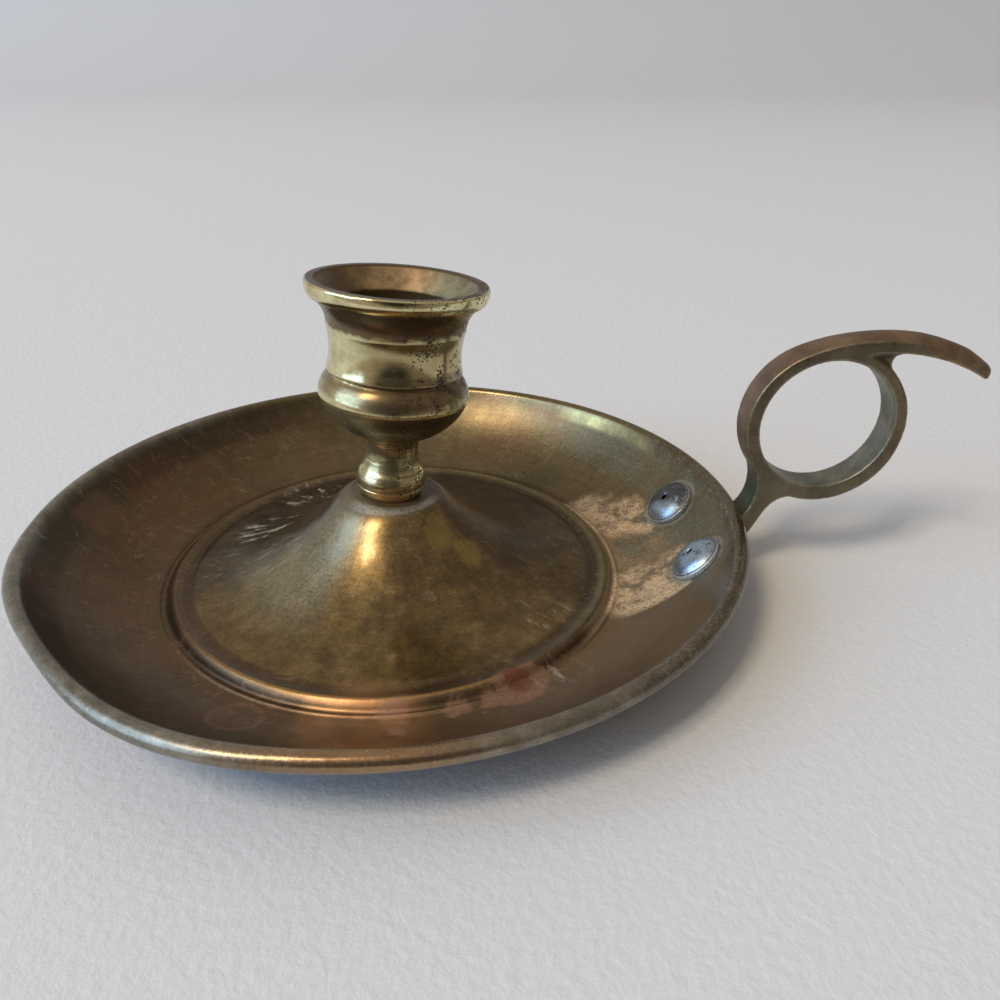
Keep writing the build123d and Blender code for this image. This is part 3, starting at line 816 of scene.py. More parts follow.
# Turned brass, once polished: pale greenish gold with sharp reflections, brown in the hollows, pitted on the
# handle side, and a dull mouth that is near black further down. Light is painted too: the pan's dark
# reflection in the flare, a dark right side on the bead, a pale line along the ridge and an orange reflection
# on the foot.
socket_finish, tree = new_finish("worn_turned_brass")
upright = Vector((0, 0, 1)).rotation_difference(lean_axis)
own = add(
    tree,
    "ShaderNodeMapping",
    {"vector_type": "TEXTURE"},
    {
        "Vector": add(tree, "ShaderNodeTexCoord").outputs["Object"],
        "Location": tuple(seat_point),
        "Rotation": tuple(upright.to_euler()),
        "Scale": (MM, MM, MM),
    },
)
_, radius, outward = about_axis(tree, own)
height = add(tree, "ShaderNodeSeparateXYZ", None, {0: own}).outputs["Z"]
turning = add(tree, "ShaderNodeVectorMath", {"operation": "MULTIPLY"}, {0: own, 1: (0.12, 0.12, 2.2)})
blots, grain, lines = (
    add(
        tree,
        "ShaderNodeTexNoise",
        None,
        {"Vector": place, "Scale": scale, "Detail": detail, "Roughness": rough},
    )
    for place, scale, detail, rough in (
        (own, 1 / 3.5, 6.0, 0.66),
        (own, 1 / 0.45, 3.0, 0.7),
        (turning, 1.0, 4.0, 0.7),
    )
)
patchy = {
    mark: add(tree, "ShaderNodeMapRange", None, {0: pattern, 1: low, 2: high, 3: least, 4: most})
    for mark, pattern, low, high, least, most in (
        ("polish", blots, 0.3, 0.7, 0.0, 1.0),
        ("turned_lines", lines, 0.3, 0.7, 0.9, 1.06),
        ("fine_grain", grain, 0.3, 0.7, 0.9, 1.08),
        ("stem_lines", lines, 0.44, 0.56, 0.15, 0.75),
        ("stain", blots, 0.42, 0.6, 0.25, 0.85),
        ("ridge_highlight_breakup", blots, 0.35, 0.5, 0.0, 1.0),
        ("mouth_blots", blots, 0.42, 0.6, 0.0, 0.6),
        ("pit_clusters", blots, 0.4, 0.62, 0.0, 0.55),
        ("sheen", blots, 0.3, 0.7, 0.1, 0.2),
    )
}
tone = painted(tree, "#bdb283", [(patchy["polish"], "#f0e8b8")])
tone = shaded(tree, tone, patchy["turned_lines"], patchy["fine_grain"])

# brown with ragged edges: in the flare a painted dark reflection of the pan, and tarnish in the groove, under
# the cup and on the stem: each band's lower and upper end, fade and share
wander = add(tree, "ShaderNodeMath", {"operation": "MULTIPLY_ADD"}, {0: blots, 1: 3.0, 2: height})
tarnish_and_reflection_bands = [
    overlap(tree, within(tree, wander, low, high, fade), share)
    for low, high, fade, share in (
        (36.8, 41.2, 0.7, 0.92),
        (25.9, 26.9, 0.8, 0.75),
        (16.0, 22.0, 1.2, 0.65),
        (5.5, 13.5, 1.5, patchy["stem_lines"]),
        (2.6, 3.6, 0.8, 0.3),
        (24.4, 26.0, 0.9, 0.55),
    )
]
brown_and_painted_reflection = either(tree, *tarnish_and_reflection_bands)
# painted light on the socket: shade on the right of the cup and bead, a highlight along the ridge, and a
# reflection of the boss's glow on the foot's front
bead_right_painted_shade = overlap(
    tree, facing(tree, outward, -32.0, 52.0, 40.0), within(tree, height, 19.0, 27.5, 1.0), patchy["stain"]
)
ridge_painted_highlight = overlap(tree, within(tree, height, 20.9, 21.5, 0.35), patchy["ridge_highlight_breakup"])
foot_painted_reflection = overlap(tree, within(tree, height, 0.2, 1.9, 0.4), facing(tree, outward, -85.0, 30.0, 25.0), 0.7)
browned = overlap(tree, facing(tree, outward, -50.0, 45.0, 35.0), within(tree, height, 19.0, 37.0, 2.0), 0.5)
tone = painted(
    tree,
    tone,
    [
        (browned, "#8d764d"),
        (brown_and_painted_reflection, "#5f4a2e"),
        (bead_right_painted_shade, "#5a4936"),
        (ridge_painted_highlight, "#d8cb96"),
        (foot_painted_reflection, "#c79a5e"),
    ],
)

# the mouth: brown flat land, dull funnel, and a bore that is near black further down
funnel_limits = {0: height, 1: 38.9, 2: 42.65, 3: 11.25, 4: 15.35}
funnel_r = add(tree, "ShaderNodeMapRange", {"clamp": False}, funnel_limits)
in_funnel = add(tree, "ShaderNodeMath", {"operation": "LESS_THAN"}, {0: radius, 1: funnel_r})
funnel = overlap(tree, in_funnel, within(tree, height, 17.7, 60.0, 0.1))
land = overlap(tree, within(tree, radius, -16.85, 16.85, 0.1), within(tree, height, 42.6, 60.0, 0.1))
dark_bore = overlap(tree, funnel, within(tree, height, 0.0, 38.0, 1.4))
mouth_tone = painted(
    tree,
    "#6c5a43",
    [
        (facing(tree, outward, 80.0, 25.0, 45.0), "#a78e69"),
        (facing(tree, outward, 0.0, 35.0, 45.0), "#8f8a70"),
        (patchy["mouth_blots"], "#52452f"),
    ],
)
tone = painted(tree, tone, [(funnel, mouth_tone), (land, "#5f4f3a"), (dark_bore, "#2c241b")])

# dark pits in clusters on the side towards the handle
pits = add(tree, "ShaderNodeTexVoronoi", {"feature": "F1"}, {"Vector": own, "Scale": 1 / 0.55})
pit_size = overlap(tree, patchy["pit_clusters"], facing(tree, outward, -30.0, 40.0, 30.0))
pit = add(tree, "ShaderNodeMath", {"operation": "LESS_THAN"}, {0: pits.outputs["Distance"], 1: pit_size})
pit = overlap(tree, pit, add(tree, "ShaderNodeMath", {"operation": "SUBTRACT"}, {0: 0.8, 1: funnel}))
tone = painted(tree, tone, [(pit, "#3f3122")])

sheen = patchy["sheen"]
for share, rougher in ((brown_and_painted_reflection, 0.14), (bead_right_painted_shade, 0.14), (funnel, 0.28), (land, 0.2), (pit, 0.4)):
    sheen = add(tree, "ShaderNodeMath", {"operation": "MULTIPLY_ADD"}, {0: share, 1: rougher, 2: sheen})
dulled = either(tree, brown_and_painted_reflection, bead_right_painted_shade, funnel, foot_painted_reflection)
metal = add(tree, "ShaderNodeMapRange", None, {0: dulled, 3: 1.0, 4: 0.65})
uneven = add(tree, "ShaderNodeMath", {"operation": "MULTIPLY_ADD"}, {0: lines, 1: 0.4, 2: grain})
bump = add(tree, "ShaderNodeBump", None, {"Strength": 0.08, "Distance": 0.0001, "Height": uneven})
pit_depth = {"Strength": 0.4, "Distance": 0.0001, "Height": pit, "Normal": bump}
sunk = add(tree, "ShaderNodeBump", {"invert": True}, pit_depth)
surface(tree, {"Base Color": tone, "Metallic": metal, "Roughness": sheen, "Normal": sunk})

on_boss_top = {"Seat": tuple(seat_point), "Axis": tuple(lean_axis)}
socket = grown(
    "candle_socket_turned",
    lathe,
    socket_profile,
    {"Turn steps": 192, "Finish": socket_finish, **on_boss_top},
)
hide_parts("candle_socket")
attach(socket, "socket")


# Stud, washer and nut
# Plain brass screw fixings inside the boss: the stud stands in the socket's foot and the nut pulls it down
# on a washer. They are seen only from below.
STUD_R = 2.5
STUD_TOP = 9.0
STUD_END = -7.44
THREAD_FROM = -2.2
THREAD_PITCH = 0.8
THREAD_DEPTH = 0.35
WASHER_TOP = -0.92
WASHER_R = 6.0
WASHER_T = 1.0
NUT_TOP = -1.94
NUT_H = 4.0
NUT_FLATS = 8.0
NUT_HOLE_R = 2.58
NUT_STEPS = 72
NUT_CHAMFER = 0.58

# Brass left as it came from the screw machine: dull yellow, dark in the threads, a little verdigris.
fixing_finish, tree = new_finish("dull_machined_brass")
mm = in_millimetres(tree)
blots, grain = (
    add(
        tree,
        "ShaderNodeTexNoise",
        None,
        {"Vector": mm, "Scale": 1 / size, "Detail": detail, "Roughness": rough},
    )
    for size, detail, rough in ((2.5, 5.0, 0.65), (0.3, 3.0, 0.7))
)
green, fine_grain, sheen = (
    add(tree, "ShaderNodeMapRange", None, {0: pattern, 1: low, 2: high, 3: least, 4: most})
    for pattern, low, high, least, most in (
        (blots, 0.56, 0.7, 0.0, 0.6),
        (grain, 0.3, 0.7, 0.8, 1.1),
        (blots, 0.3, 0.7, 0.32, 0.55),
    )
)
tone = painted(tree, "#6f5a35", [(blots, "#a88c55"), (green, "#5f7763")])
tone = shaded(tree, tone, fine_grain)
bump = add(tree, "ShaderNodeBump", None, {"Strength": 0.15, "Distance": 0.0001, "Height": grain})
surface(tree, {"Base Color": tone, "Metallic": 0.9, "Roughness": sheen, "Normal": bump})

thread = []
turns = int((THREAD_FROM - STUD_END) / THREAD_PITCH)
for turn_down in range(turns):
    crest = THREAD_FROM - turn_down * THREAD_PITCH
    thread += [(STUD_R, crest), (STUD_R, crest - 0.2), (STUD_R - THREAD_DEPTH, crest - 0.5)]
stud_profile = [(0, STUD_TOP), (STUD_R - 0.3, STUD_TOP), (STUD_R, STUD_TOP - 0.3)] + thread
stud_profile += [(STUD_R - 0.4, STUD_END), (0, STUD_END)]
washer_foot = WASHER_TOP - WASHER_T
washer_profile = [
    (NUT_HOLE_R, WASHER_TOP),
    (WASHER_R - 0.15, WASHER_TOP),
    (WASHER_R, WASHER_TOP - 0.15),
    (WASHER_R, washer_foot + 0.2),
    (WASHER_R - 0.2, washer_foot),
    (NUT_HOLE_R, washer_foot),
    (NUT_HOLE_R, WASHER_TOP),
]
for name, node, profile in (
    ("socket_stud_threaded", "socket_stud", stud_profile),
    ("stud_washer_flat", "stud_washer", washer_profile),
):
    fixing = grown(name, lathe, profile, {"Turn steps": 72, "Finish": fixing_finish, **on_boss_top})
    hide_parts(node)
    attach(fixing, "base")

# the nut: six flats with the corners chamfered at both ends, so every row of points follows the hexagon
chamfer_r = NUT_FLATS / 2 * 0.97
nut_points = []
for i in range(NUT_STEPS):
    around = 2 * pi * i / NUT_STEPS
    flat_r = NUT_FLATS / 2 / cos(around % (pi / 3) - pi / 6)
    cut = (flat_r - chamfer_r) * NUT_CHAMFER
    for reach, fall in (
        (NUT_HOLE_R, 0.0),
        (chamfer_r, 0.0),
        (flat_r, cut),
        (flat_r, NUT_H - cut),
        (chamfer_r, NUT_H),
        (NUT_HOLE_R, NUT_H),
    ):
        local = Vector((reach * cos(around), reach * sin(around), NUT_TOP - fall)) * MM
        nut_points.append(tuple(seat_point + upright @ local))
nut_faces = []
for i in range(NUT_STEPS):
    here, beyond = 6 * i, 6 * ((i + 1) % NUT_STEPS)
    for row in range(6):
        down_row = (row + 1) % 6
        nut_faces.append((here + row, here + down_row, beyond + down_row, beyond + row))
nut = settle(plain_object("stud_nut_hexagon", nut_points, faces=nut_faces))
nut.data.materials.append(fixing_finish)
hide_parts("stud_nut")
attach(nut, "base")


# Finger ring, thumb tail and palm plate
# One sand casting in brass, filed over; the palm plate lies against the tray's underside, held by two rivets.
# The thumb tail is domed on top, and a thin web fills the corner where it leaves the ring.
RING_X = 87.9
RING_Z = 33.0
HOLE_Z = 33.4
TAIL_X = 97.024
TAIL_Z = 12.214
BAND_HALF_W = 3.5
TIP_TAPER = 0.8
DOME_RISE = 0.9
DOME_FALL = 1.7
TIP_LIFT = 0.6
WEB_SUNK = 0.18
CASTING_GRAIN = 0.28

# Cast brass: brown where hands rub the top, olive-grey on the sides, bright along the filed edges from wear
# and a painted highlight, dark in the hollows, with verdigris.
handle_finish, tree = new_finish("dull_cast_brass")
mm = in_millimetres(tree)
clouds, blots, grain = (
    add(
        tree,
        "ShaderNodeTexNoise",
        None,
        {"Vector": mm, "Scale": 1 / size, "Detail": detail, "Roughness": rough},
    )
    for size, detail, rough in ((6, 5.0, 0.65), (1.8, 4.0, 0.7), (0.35, 3.0, 0.7))
)
arris, hollow, rubbed = (
    add(tree, "ShaderNodeAttribute", {"attribute_name": name}).outputs["Fac"]
    for name in ("arris", "hollow", "rubbed")
)
normal = add(tree, "ShaderNodeTexCoord").outputs["Normal"]
flank = add(tree, "ShaderNodeSeparateXYZ", None, {0: normal}).outputs["Y"]
flank = add(tree, "ShaderNodeMath", {"operation": "ABSOLUTE"}, {0: flank})
patchy = {
    mark: add(tree, "ShaderNodeMapRange", None, {0: pattern, 1: low, 2: high, 3: least, 4: most})
    for mark, pattern, low, high, least, most in (
        ("cloudy", clouds, 0.3, 0.7, 0.0, 1.0),
        ("worn_edges", blots, 0.3, 0.6, 0.1, 0.6),
        ("off_flanks", flank, 0.3, 0.9, 1.0, 0.2),
        ("verdigris", clouds, 0.35, 0.55, 0.2, 0.85),
        ("casting_blots", blots, 0.3, 0.7, 0.86, 1.12),
        ("casting_grain", grain, 0.3, 0.7, 0.85, 1.12),
        ("sheen", blots, 0.3, 0.7, 0.34, 0.5),
    )
}
side_view = add(tree, "ShaderNodeVectorMath", {"operation": "MULTIPLY"}, {0: mm, 1: (1.0, 0.0, 1.0)})
in_hole = spot(tree, side_view, (RING_X, 0.0, HOLE_Z), 14.0, 0.3)
side_tone = painted(tree, "#584f3d", [(patchy["cloudy"], "#796f59")])
top_tone = painted(tree, "#655240", [(patchy["cloudy"], "#8f765e")])
hole_tone = painted(tree, "#565a50", [(patchy["cloudy"], "#888a7f")])
# the filed edges are worn and also carry a painted highlight; the hollows are painted darker
arris_wear_and_highlight = overlap(tree, arris, patchy["worn_edges"])
dark_hollows = overlap(tree, hollow, 0.8)
neck_green = overlap(
    tree, spot(tree, mm, (73.5, 0.0, 20.0), 8.5, 5.0), patchy["off_flanks"], patchy["verdigris"]
)
web_tan = overlap(tree, spot(tree, mm, (100.0, 0.0, 44.5), 6.0, 3.0), 0.35)
tone = painted(
    tree,
    side_tone,
    [
        (in_hole, hole_tone),
        (rubbed, top_tone),
        (web_tan, "#8a7a58"),
        (neck_green, "#4d6458"),
        (dark_hollows, "#35301f"),
        (arris_wear_and_highlight, "#a3987a"),
    ],
)
tone = shaded(tree, tone, patchy["casting_blots"], patchy["casting_grain"])
sheen = add(tree, "ShaderNodeMix", {"data_type": "FLOAT"}, {0: arris_wear_and_highlight, 2: patchy["sheen"], 3: 0.26})
skin = add(tree, "ShaderNodeMath", {"operation": "MULTIPLY_ADD"}, {0: blots, 1: 1.4, 2: grain})
bump = add(tree, "ShaderNodeBump", None, {"Strength": 0.22, "Distance": 0.00016, "Height": skin})
surface(tree, {"Base Color": tone, "Metallic": 0.8, "Roughness": sheen, "Normal": bump})

handle = plain_object("finger_ring_cast", [])
handle.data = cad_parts["handle"].data.copy()
shape = bmesh.new()
shape.from_mesh(handle.data)
bmesh.ops.remove_doubles(shape, verts=shape.verts, dist=1e-6)
shape.to_mesh(handle.data)
shape.free()
casting = handle.modifiers.new("casting", "REMESH")
casting.mode = "VOXEL"
casting.voxel_size = CASTING_GRAIN * MM
casting.use_smooth_shade = True
filed = handle.modifiers.new("filed", "SMOOTH")
filed.factor = 0.5
filed.iterations = 8
settle(handle)


def vertex_values(mesh, what, width):
    """A number or vector of every vertex, as an array."""
    values = np.empty(len(mesh.vertices) * width, np.float32)
    mesh.vertices.foreach_get(what, values)
    return values.reshape(-1, width).astype(float)


def ramp(values, start, end):
    """0 up to one value and 1 past the other, in a straight line between them."""
    return np.clip((values - start) / (end - start), 0, 1)


# dome the tail's top, more and more towards its tip, and sink the web between tail and ring
points = vertex_values(handle.data, "co", 3) / MM
x, y, z = points.T
from_tail = np.hypot(x - TAIL_X, z - TAIL_Z)
along = np.arctan2(z - TAIL_Z, x - TAIL_X)
from_ring = np.hypot(x - RING_X, z - RING_Z)
half_w = BAND_HALF_W - TIP_TAPER * ramp(x, 100.2, 120.2)
dome = ramp(np.degrees(along), 113, 78) * ramp(from_tail, 36.4, 38.8) * (along > 0)
dome *= DOME_RISE * ramp(x, 121, 115) - DOME_FALL * np.clip(np.abs(y) / half_w, 0, 1) ** 2
z += dome + TIP_LIFT * ramp(x, 106, 120) ** 2
sunk_web = ramp(from_ring, 15.4, 16.3) * ramp(from_tail, 36.3, 35.4)
sunk_web *= ramp(x, 93, 96) * ramp(z, RING_Z + 5, RING_Z + 9)
y *= 1 - WEB_SUNK * sunk_web
handle.data.vertices.foreach_set("co", (points * MM).ravel())
handle.data.update()

# how far the surface falls away from each point tells edges from hollows
ends = np.empty(len(handle.data.edges) * 2, np.int32)
handle.data.edges.foreach_get("vertices", ends)
one, other = ends.reshape(-1, 2).T
normals = vertex_values(handle.data, "normal", 3)
step_way = points[other] - points[one]
step_way /= np.maximum(np.linalg.norm(step_way, axis=1, keepdims=True), 1e-6)
count = len(points)
shares = np.bincount(one, minlength=count) + np.bincount(other, minlength=count)
fall = np.bincount(one, -(step_way * normals[one]).sum(1), count)
fall += np.bincount(other, (step_way * normals[other]).sum(1), count)
fall /= np.maximum(shares, 1)
for _ in range(3):
    spread = np.bincount(one, fall[other], count) + np.bincount(other, fall[one], count)
    fall = (fall + spread / np.maximum(shares, 1)) / 2
outside = (x - RING_X) * normals[:, 0] + (z - RING_Z) * normals[:, 2] > 3
on_top = ramp(np.abs(normals[:, 1]), 0.85, 0.6) * outside * (z > 18)
on_tail = ramp(x, 101, 106)
for name, values in (
    ("arris", ramp(fall, 0.035, 0.085)),
    ("hollow", ramp(fall, -0.012, -0.042)),
    ("rubbed", np.maximum(on_top, on_tail)),
):
    handle.data.attributes.new(name, "FLOAT", "POINT").data.foreach_set("value", values.astype(np.float32))
handle.data.materials.clear()
handle.data.materials.append(handle_finish)
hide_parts("handle")
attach(handle, "base")


# Rivets
# Two aluminium blind rivets, a later repair: domed heads on the tray, tails swelled under the palm plate.
# The steel mandrel that set each one is left in its sleeve.
RIVET_FROM_AXIS = 63.6
RIVET_AZIMUTH = 11.06
RIVET_BORE_R = 1.35
RIVET_SLEEVE_R = 2.4
RIVET_HEAD_R = 5.6
RIVET_SHOULDER_R = 3.0
RIVET_TAIL_R = 3.4
RIVET_TAIL_TOP = -2.97
RIVET_END = -6.47
BED_GAP = 0.02
rivet_slope = asin((RIVET_FROM_AXIS - tray_x) / tray_r)
rivet_height = tray_z - tray_r * cos(rivet_slope)
tail_middle = (RIVET_TAIL_R, (RIVET_TAIL_TOP + RIVET_END) / 2)
rivet_profile = (
    [(RIVET_BORE_R, RIVET_END), (RIVET_BORE_R, 2.1), (0.75, 2.6), (0.6, 3.0), (0.75, 3.17)]
    + bowed((0.95, 3.19), (3.6, 2.7), (5.1, 1.58), 16)
    + [(5.2, 1.42), (5.27, 1.4), (5.35, 1.43), (5.47, 1.36), (5.57, 1.2)]
    + [(RIVET_HEAD_R, 0.95), (RIVET_HEAD_R, 0.0), (RIVET_SLEEVE_R, 0.0), (RIVET_SLEEVE_R, RIVET_TAIL_TOP)]
    + bowed((RIVET_SHOULDER_R, RIVET_TAIL_TOP), tail_middle, (RIVET_SLEEVE_R, RIVET_END), 12)
    + [(RIVET_BORE_R, RIVET_END)]
)

# Aluminium, dull with age: cool grey with a soft sheen, its blue a painted reflection of the window, a white
# bloom of oxide at the brim and black spots of corrosion, worst on the rivet at the back.
rivet_finish, tree = new_finish("corroded_aluminium")
mm = in_millimetres(tree)
reach = add(tree, "ShaderNodeAttribute", {"attribute_name": "reach"}).outputs["Fac"]
blots, grain = (
    add(
        tree,
        "ShaderNodeTexNoise",
        None,
        {"Vector": mm, "Scale": 1 / size, "Detail": detail, "Roughness": rough},
    )
    for size, detail, rough in ((1.5, 6.0, 0.75), (0.3, 3.0, 0.7))
)
across = add(tree, "ShaderNodeSeparateXYZ", None, {0: mm}).outputs["Y"]
back_one = add(tree, "ShaderNodeMath", {"operation": "GREATER_THAN"}, {0: across, 1: 0.0})
front_one = add(tree, "ShaderNodeMath", {"operation": "SUBTRACT"}, {0: 1.0, 1: back_one})
worst = add(tree, "ShaderNodeMapRange", None, {0: back_one, 3: -0.24, 4: -0.065})
spots = add(tree, "ShaderNodeMath", {"operation": "MULTIPLY_ADD"}, {0: grain, 1: 0.3, 2: worst})
spots = add(tree, "ShaderNodeMath", {"operation": "ADD"}, {0: blots, 1: spots})

# the back one has no spots on its front left side
CLEAN_SIDE = (-0.75, -0.66, 0.0)
from_head = add(tree, "ShaderNodeVectorMath", {"operation": "SUBTRACT"}, {0: mm, 1: RIVET_HEADS[1]})
to_left = add(tree, "ShaderNodeVectorMath", {"operation": "DOT_PRODUCT"}, {0: from_head, 1: CLEAN_SIDE})
spots, spots_kept, oxide_grain, fine_grain, sheen = (
    add(tree, "ShaderNodeMapRange", None, {0: pattern, 1: low, 2: high, 3: least, 4: most})
    for pattern, low, high, least, most in (
        (spots, 0.44, 0.52, 0.0, 0.9),
        (to_left.outputs["Value"], 2.3, 4.2, 1.0, 0.1),
        (grain, 0.4, 0.6, 0.1, 0.8),
        (grain, 0.3, 0.7, 0.85, 1.1),
        (blots, 0.3, 0.7, 0.25, 0.38),
    )
)
spots = overlap(tree, spots, either(tree, spots_kept, front_one))
oxide = overlap(tree, within(tree, reach, 5.25, 7.0, 0.5), oxide_grain)
# a dark line in the small groove at the brim
dark_brim_line = overlap(tree, within(tree, reach, 5.18, 5.34, 0.12), 0.8)
# the blue in the grey is a painted reflection of the window
tone = painted(
    tree, "#869db3", [(blots, "#bcd0e2"), (spots, "#2a2320"), (oxide, "#c9cac6"), (dark_brim_line, "#33312d")]
)
tone = shaded(tree, tone, fine_grain)
eaten = either(tree, spots, oxide)
sheen = add(tree, "ShaderNodeMix", {"data_type": "FLOAT"}, {0: eaten, 2: sheen, 3: 0.6})
metal = add(tree, "ShaderNodeMapRange", None, {0: eaten, 3: 0.95, 4: 0.5})
bump = add(tree, "ShaderNodeBump", None, {"Strength": 0.25, "Distance": 0.00012, "Height": grain})
surface(tree, {"Base Color": tone, "Metallic": metal, "Roughness": sheen, "Normal": bump})

# the pair: one turned rivet set on two points of the tray, square to it
pair, given = shaping_tree(
    "rivet_pair",
    (
        ("Profile", "Geometry"),
        ("Turn steps", "Int"),
        ("From axis", "Float"),
        ("Height", "Float"),
        ("Azimuth", "Float"),
        ("Slope", "Float"),
        ("Finish", "Material"),
    ),
    "Rivets",
)
turned = add(
    pair,
    "GeometryNodeGroup",
    {"node_tree": lathe},
    {
        "Profile": given["Profile"],
        "Turn steps": given["Turn steps"],
        "Axis": (0.0, 0.0, 1.0),
        "Finish": given["Finish"],
    },
)
places = add(pair, "GeometryNodePoints", None, {"Count": 2})
index = add(pair, "GeometryNodeInputIndex")
side = add(pair, "ShaderNodeMath", {"operation": "MULTIPLY_ADD"}, {0: index, 1: 2.0, 2: -1.0})
turn = add(pair, "ShaderNodeMath", {"operation": "MULTIPLY"}, {0: side, 1: given["Azimuth"]})
on_axis = add(pair, "ShaderNodeCombineXYZ", None, {"X": given["From axis"], "Z": given["Height"]})
lean_in = add(pair, "ShaderNodeMath", {"operation": "SINE"}, {0: given["Slope"]})
lean_in = add(pair, "ShaderNodeMath", {"operation": "MULTIPLY"}, {0: lean_in, 1: -1.0})
rise = add(pair, "ShaderNodeMath", {"operation": "COSINE"}, {0: given["Slope"]})
square = add(pair, "ShaderNodeCombineXYZ", None, {"X": lean_in, "Z": rise})
seat, square = (
    add(pair, "ShaderNodeVectorRotate", {"rotation_type": "Z_AXIS"}, {"Vector": unturned, "Angle": turn})
    for unturned in (on_axis, square)
)
stand = add(pair, "FunctionNodeAlignRotationToVector", {"axis": "Z"}, {"Vector": square})
spread_out = add(pair, "GeometryNodeSetPosition", None, {"Geometry": places, "Position": seat})
setting = {"Points": spread_out, "Instance": turned, "Rotation": stand}
set_in = add(pair, "GeometryNodeInstanceOnPoints", None, setting)
whole = add(pair, "GeometryNodeRealizeInstances", None, {"Geometry": set_in})
finished = add(pair, "GeometryNodeSetMaterial", None, {"Geometry": whole, "Material": given["Finish"]})
add(pair, "NodeGroupOutput", None, {"Rivets": finished})

rivets = grown(
    "blind_rivets",
    pair,
    rivet_profile,
    {
        "Turn steps": 72,
        "From axis": RIVET_FROM_AXIS * MM,
        "Height": rivet_height * MM,
        "Azimuth": radians(RIVET_AZIMUTH),
        "Slope": rivet_slope,
        "Finish": rivet_finish,
    },
)

# each head is bedded on the hollow of the tray, and every point keeps its distance from the rivet's own axis
# for the finish
points = vertex_values(rivets.data, "co", 3) / MM
reach = np.zeros(len(points))
bed_r = tray_r - BED_GAP
for hand in (-1, 1):
    azimuth = radians(hand * RIVET_AZIMUTH)
    own_side = points[:, 1] * hand > 0
    foot = np.array((RIVET_FROM_AXIS * cos(azimuth), RIVET_FROM_AXIS * sin(azimuth), rivet_height))
    stem = np.array((-sin(rivet_slope) * cos(azimuth), -sin(rivet_slope) * sin(azimuth), cos(rivet_slope)))
    above = (points - foot) @ stem
    reach = np.where(own_side, np.linalg.norm(points - foot - above[:, None] * stem, axis=1), reach)
    run = np.hypot(points[:, 0], points[:, 1])
    depth = np.hypot(run - tray_x, points[:, 2] - tray_z)
    bedded = own_side & (above > -0.8) & (reach > RIVET_SLEEVE_R + 0.05) & (depth > bed_r)
    scale = np.where(bedded, bed_r / depth, 1.0)
    new_run = tray_x + (run - tray_x) * scale
    points[:, 0] *= new_run / run
    points[:, 1] *= new_run / run
    points[:, 2] = tray_z + (points[:, 2] - tray_z) * scale
rivets.data.vertices.foreach_set("co", (points * MM).ravel())
rivets.data.attributes.new("reach", "FLOAT", "POINT").data.foreach_set("value", reach.astype(np.float32))
rivets.data.update()
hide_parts("rivet_bodies")
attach(rivets, "base")

# Plain steel wire, snapped off when the rivet was set: dark grey, matt, with freckles of rust.
mandrel_finish, tree = new_finish("rusty_steel_wire")
freckle_size = {"Vector": in_millimetres(tree), "Scale": 1 / 0.5, "Detail": 4.0, "Roughness": 0.7}
freckles = add(tree, "ShaderNodeTexNoise", None, freckle_size)
rusty = add(tree, "ShaderNodeMapRange", None, {0: freckles, 1: 0.45, 2: 0.62})
tone = painted(tree, "#3c3a38", [(rusty, "#5b3f2c")])
sheen = add(tree, "ShaderNodeMapRange", None, {0: rusty, 3: 0.45, 4: 0.8})
metal = add(tree, "ShaderNodeMapRange", None, {0: rusty, 3: 1.0, 4: 0.3})
bump = add(tree, "ShaderNodeBump", None, {"Strength": 0.3, "Distance": 0.0001, "Height": freckles})
surface(tree, {"Base Color": tone, "Metallic": metal, "Roughness": sheen, "Normal": bump})
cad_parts["rivet_mandrels"].material_slots[0].material = mandrel_finish


# Table, light and camera
# A pale painted table that sweeps up behind, a wide cool window on the left and a small warm lamp above it.
# Sizes here are in metres.
TABLE_HALF_W = 4.0
TABLE_FRONT = 0.13
SWEEP_FROM = 2.0
SWEEP_R = 2.0
SWEEP_TILT = 45
SWEEP_RISE = 2.5
table_line = [(-TABLE_FRONT, 0.0), (SWEEP_FROM, 0.0)]
table_line += [(SWEEP_FROM + y, SWEEP_R + z) for y, z in arc(0, 0, SWEEP_R, 270, 270 + SWEEP_TILT, 17)[1:]]
table_line += [(table_line[-1][0] + SWEEP_RISE, table_line[-1][1] + SWEEP_RISE)]
table = plain_object(
    "table",
    [(x, y, z) for y, z in table_line for x in (-TABLE_HALF_W, TABLE_HALF_W)],
    faces=[(2 * i, 2 * i + 1, 2 * i + 3, 2 * i + 2) for i in range(len(table_line) - 1)],
)
for face in table.data.polygons:
    face.use_smooth = True

# Emulsion paint on board: even, matt, faintly grained by the roller.
paint, tree = new_finish("matt_white_paint")
roller_size = {"Vector": in_millimetres(tree), "Scale": 1 / 1.8, "Detail": 4.0, "Roughness": 0.6}
grain = add(tree, "ShaderNodeTexNoise", None, roller_size)
tone = painted(tree, "#d0d5db", [(grain, "#d9dee4")])
bump = add(tree, "ShaderNodeBump", None, {"Strength": 0.55, "Distance": 0.0004, "Height": grain})
surface(tree, {"Base Color": tone, "Roughness": 0.75, "Normal": bump})
table.data.materials.append(paint)

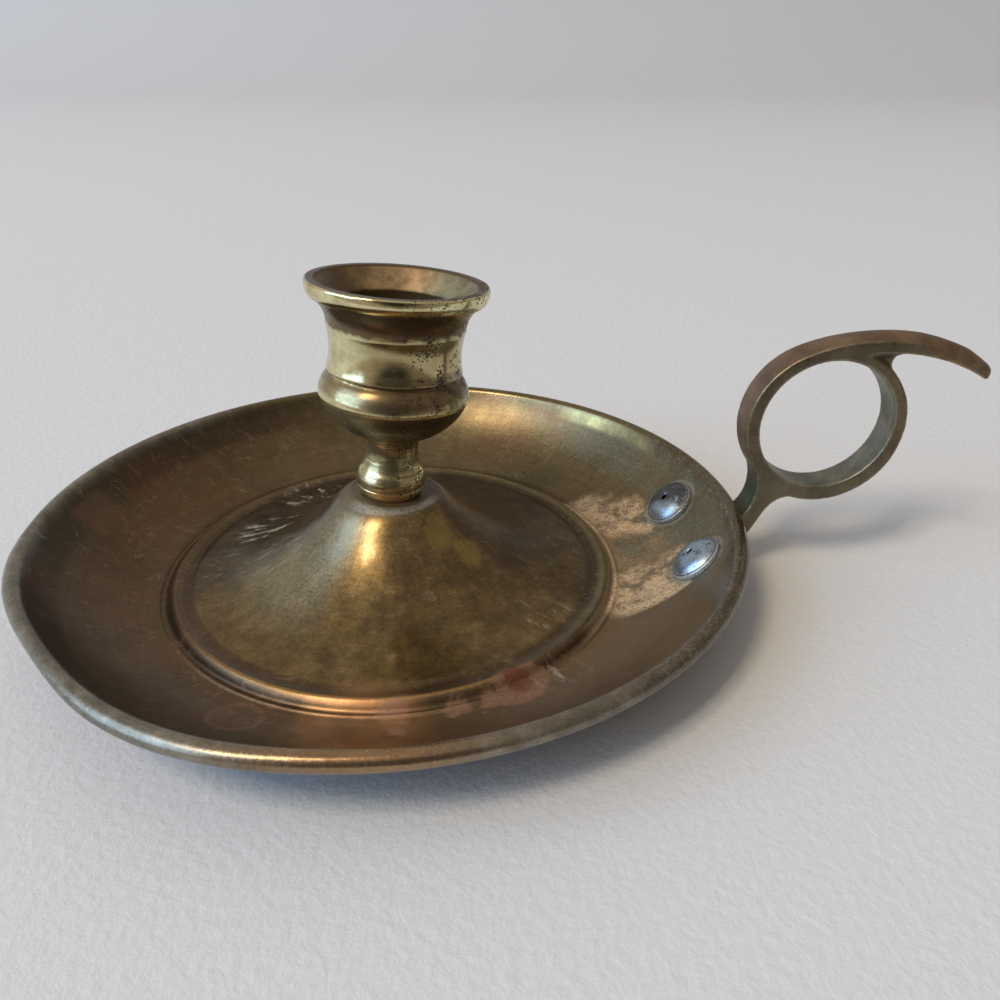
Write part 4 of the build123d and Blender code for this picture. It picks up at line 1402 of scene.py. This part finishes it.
# the room: soft warm light, brightest to the left and behind the object and dim where the viewer stands
BRIGHT_SIDE = (-0.77, 0.44, 0.46)
VIEWER_SIDE = (0.05, -0.98, 0.2)
world = bpy.data.worlds.new("soft_room")
bpy.context.scene.world = world
world.use_nodes = True
tree = world.node_tree
tree.nodes.clear()
towards = add(tree, "ShaderNodeTexCoord").outputs["Generated"]
bright, viewer = (
    add(tree, "ShaderNodeVectorMath", {"operation": "DOT_PRODUCT"}, {0: towards, 1: side}).outputs["Value"]
    for side in (BRIGHT_SIDE, VIEWER_SIDE)
)
level_light = add(tree, "ShaderNodeMapRange", None, {0: bright, 1: -1.0, 2: 1.0, 3: 0.24, 4: 0.56})
dimming = {0: viewer, 1: 0.78, 2: 0.94, 3: 1.0, 4: 0.1}
dimmed = add(tree, "ShaderNodeMapRange", {"interpolation_type": "SMOOTHSTEP"}, dimming)
strength = overlap(tree, level_light, dimmed)
glow = add(tree, "ShaderNodeBackground", None, {"Color": linear("#fff0e0"), "Strength": strength})
add(tree, "ShaderNodeOutputWorld", None, {"Surface": glow})

# each light is a flat panel facing the object: its group's middle, its offset there, width, height and watts
WINDOW_AT = Vector((-0.85, -0.30, 0.44)).normalized() * 6.0
LAMP_AT = Vector((-0.43, -0.39, 0.81)).normalized() * 6.0
for name, centre, offset, width, height, watts, colour in (
    ("window", WINDOW_AT, (0.0, 0.0), 4.8, 5.2, 310.0, "#b4d8ff"),
    ("lamp_left_tube", LAMP_AT, (-0.44, 0.0), 0.20, 1.80, 44.0, "#ffe9c8"),
    ("lamp_right_tube", LAMP_AT, (0.44, 0.0), 0.20, 1.80, 44.0, "#ffe9c8"),
    ("lamp_lower_tube", LAMP_AT, (0.0, -0.80), 0.68, 0.20, 17.0, "#ffe9c8"),
    ("lamp_shade", LAMP_AT, (0.0, 0.10), 0.68, 1.60, 60.0, "#ffe2bd"),
):
    panel = bpy.data.lights.new(name, "AREA")
    panel.shape = "RECTANGLE"
    panel.size = width
    panel.size_y = height
    panel.energy = watts
    panel.color = linear(colour)[:3]
    hung = bpy.data.objects.new(name, panel)
    bpy.context.scene.collection.objects.link(hung)
    aim = (-centre).to_track_quat("-Z", "Y")
    hung.location = centre + aim @ Vector((offset[0], offset[1], 0.0))
    hung.rotation_euler = aim.to_euler()

# the camera stands where the photograph's ellipses of rim and step put it, in millimetres
CAMERA_AT = (14.33, -158.36, 100.59)
CAMERA_ROLL = radians(-0.282)
forward = Vector((0.0462, 0.8820, -0.4691)).normalized()
level = Vector((0.99863, -0.05234, 0.0)).normalized()
right = level * cos(CAMERA_ROLL) + forward.cross(level) * sin(CAMERA_ROLL)
up = -forward.cross(right)
view = bpy.data.cameras.new("photo_view")
view.lens = 30.914
view.sensor_width = 36.0
camera = bpy.data.objects.new("photo_view", view)
bpy.context.scene.collection.objects.link(camera)
camera.matrix_world = Matrix(
    [(*turn, at * MM) for *turn, at in zip(right, up, -forward, CAMERA_AT)] + [(0, 0, 0, 1)]
)
bpy.context.scene.camera = camera
bpy.context.scene.view_settings.view_transform = "Standard"
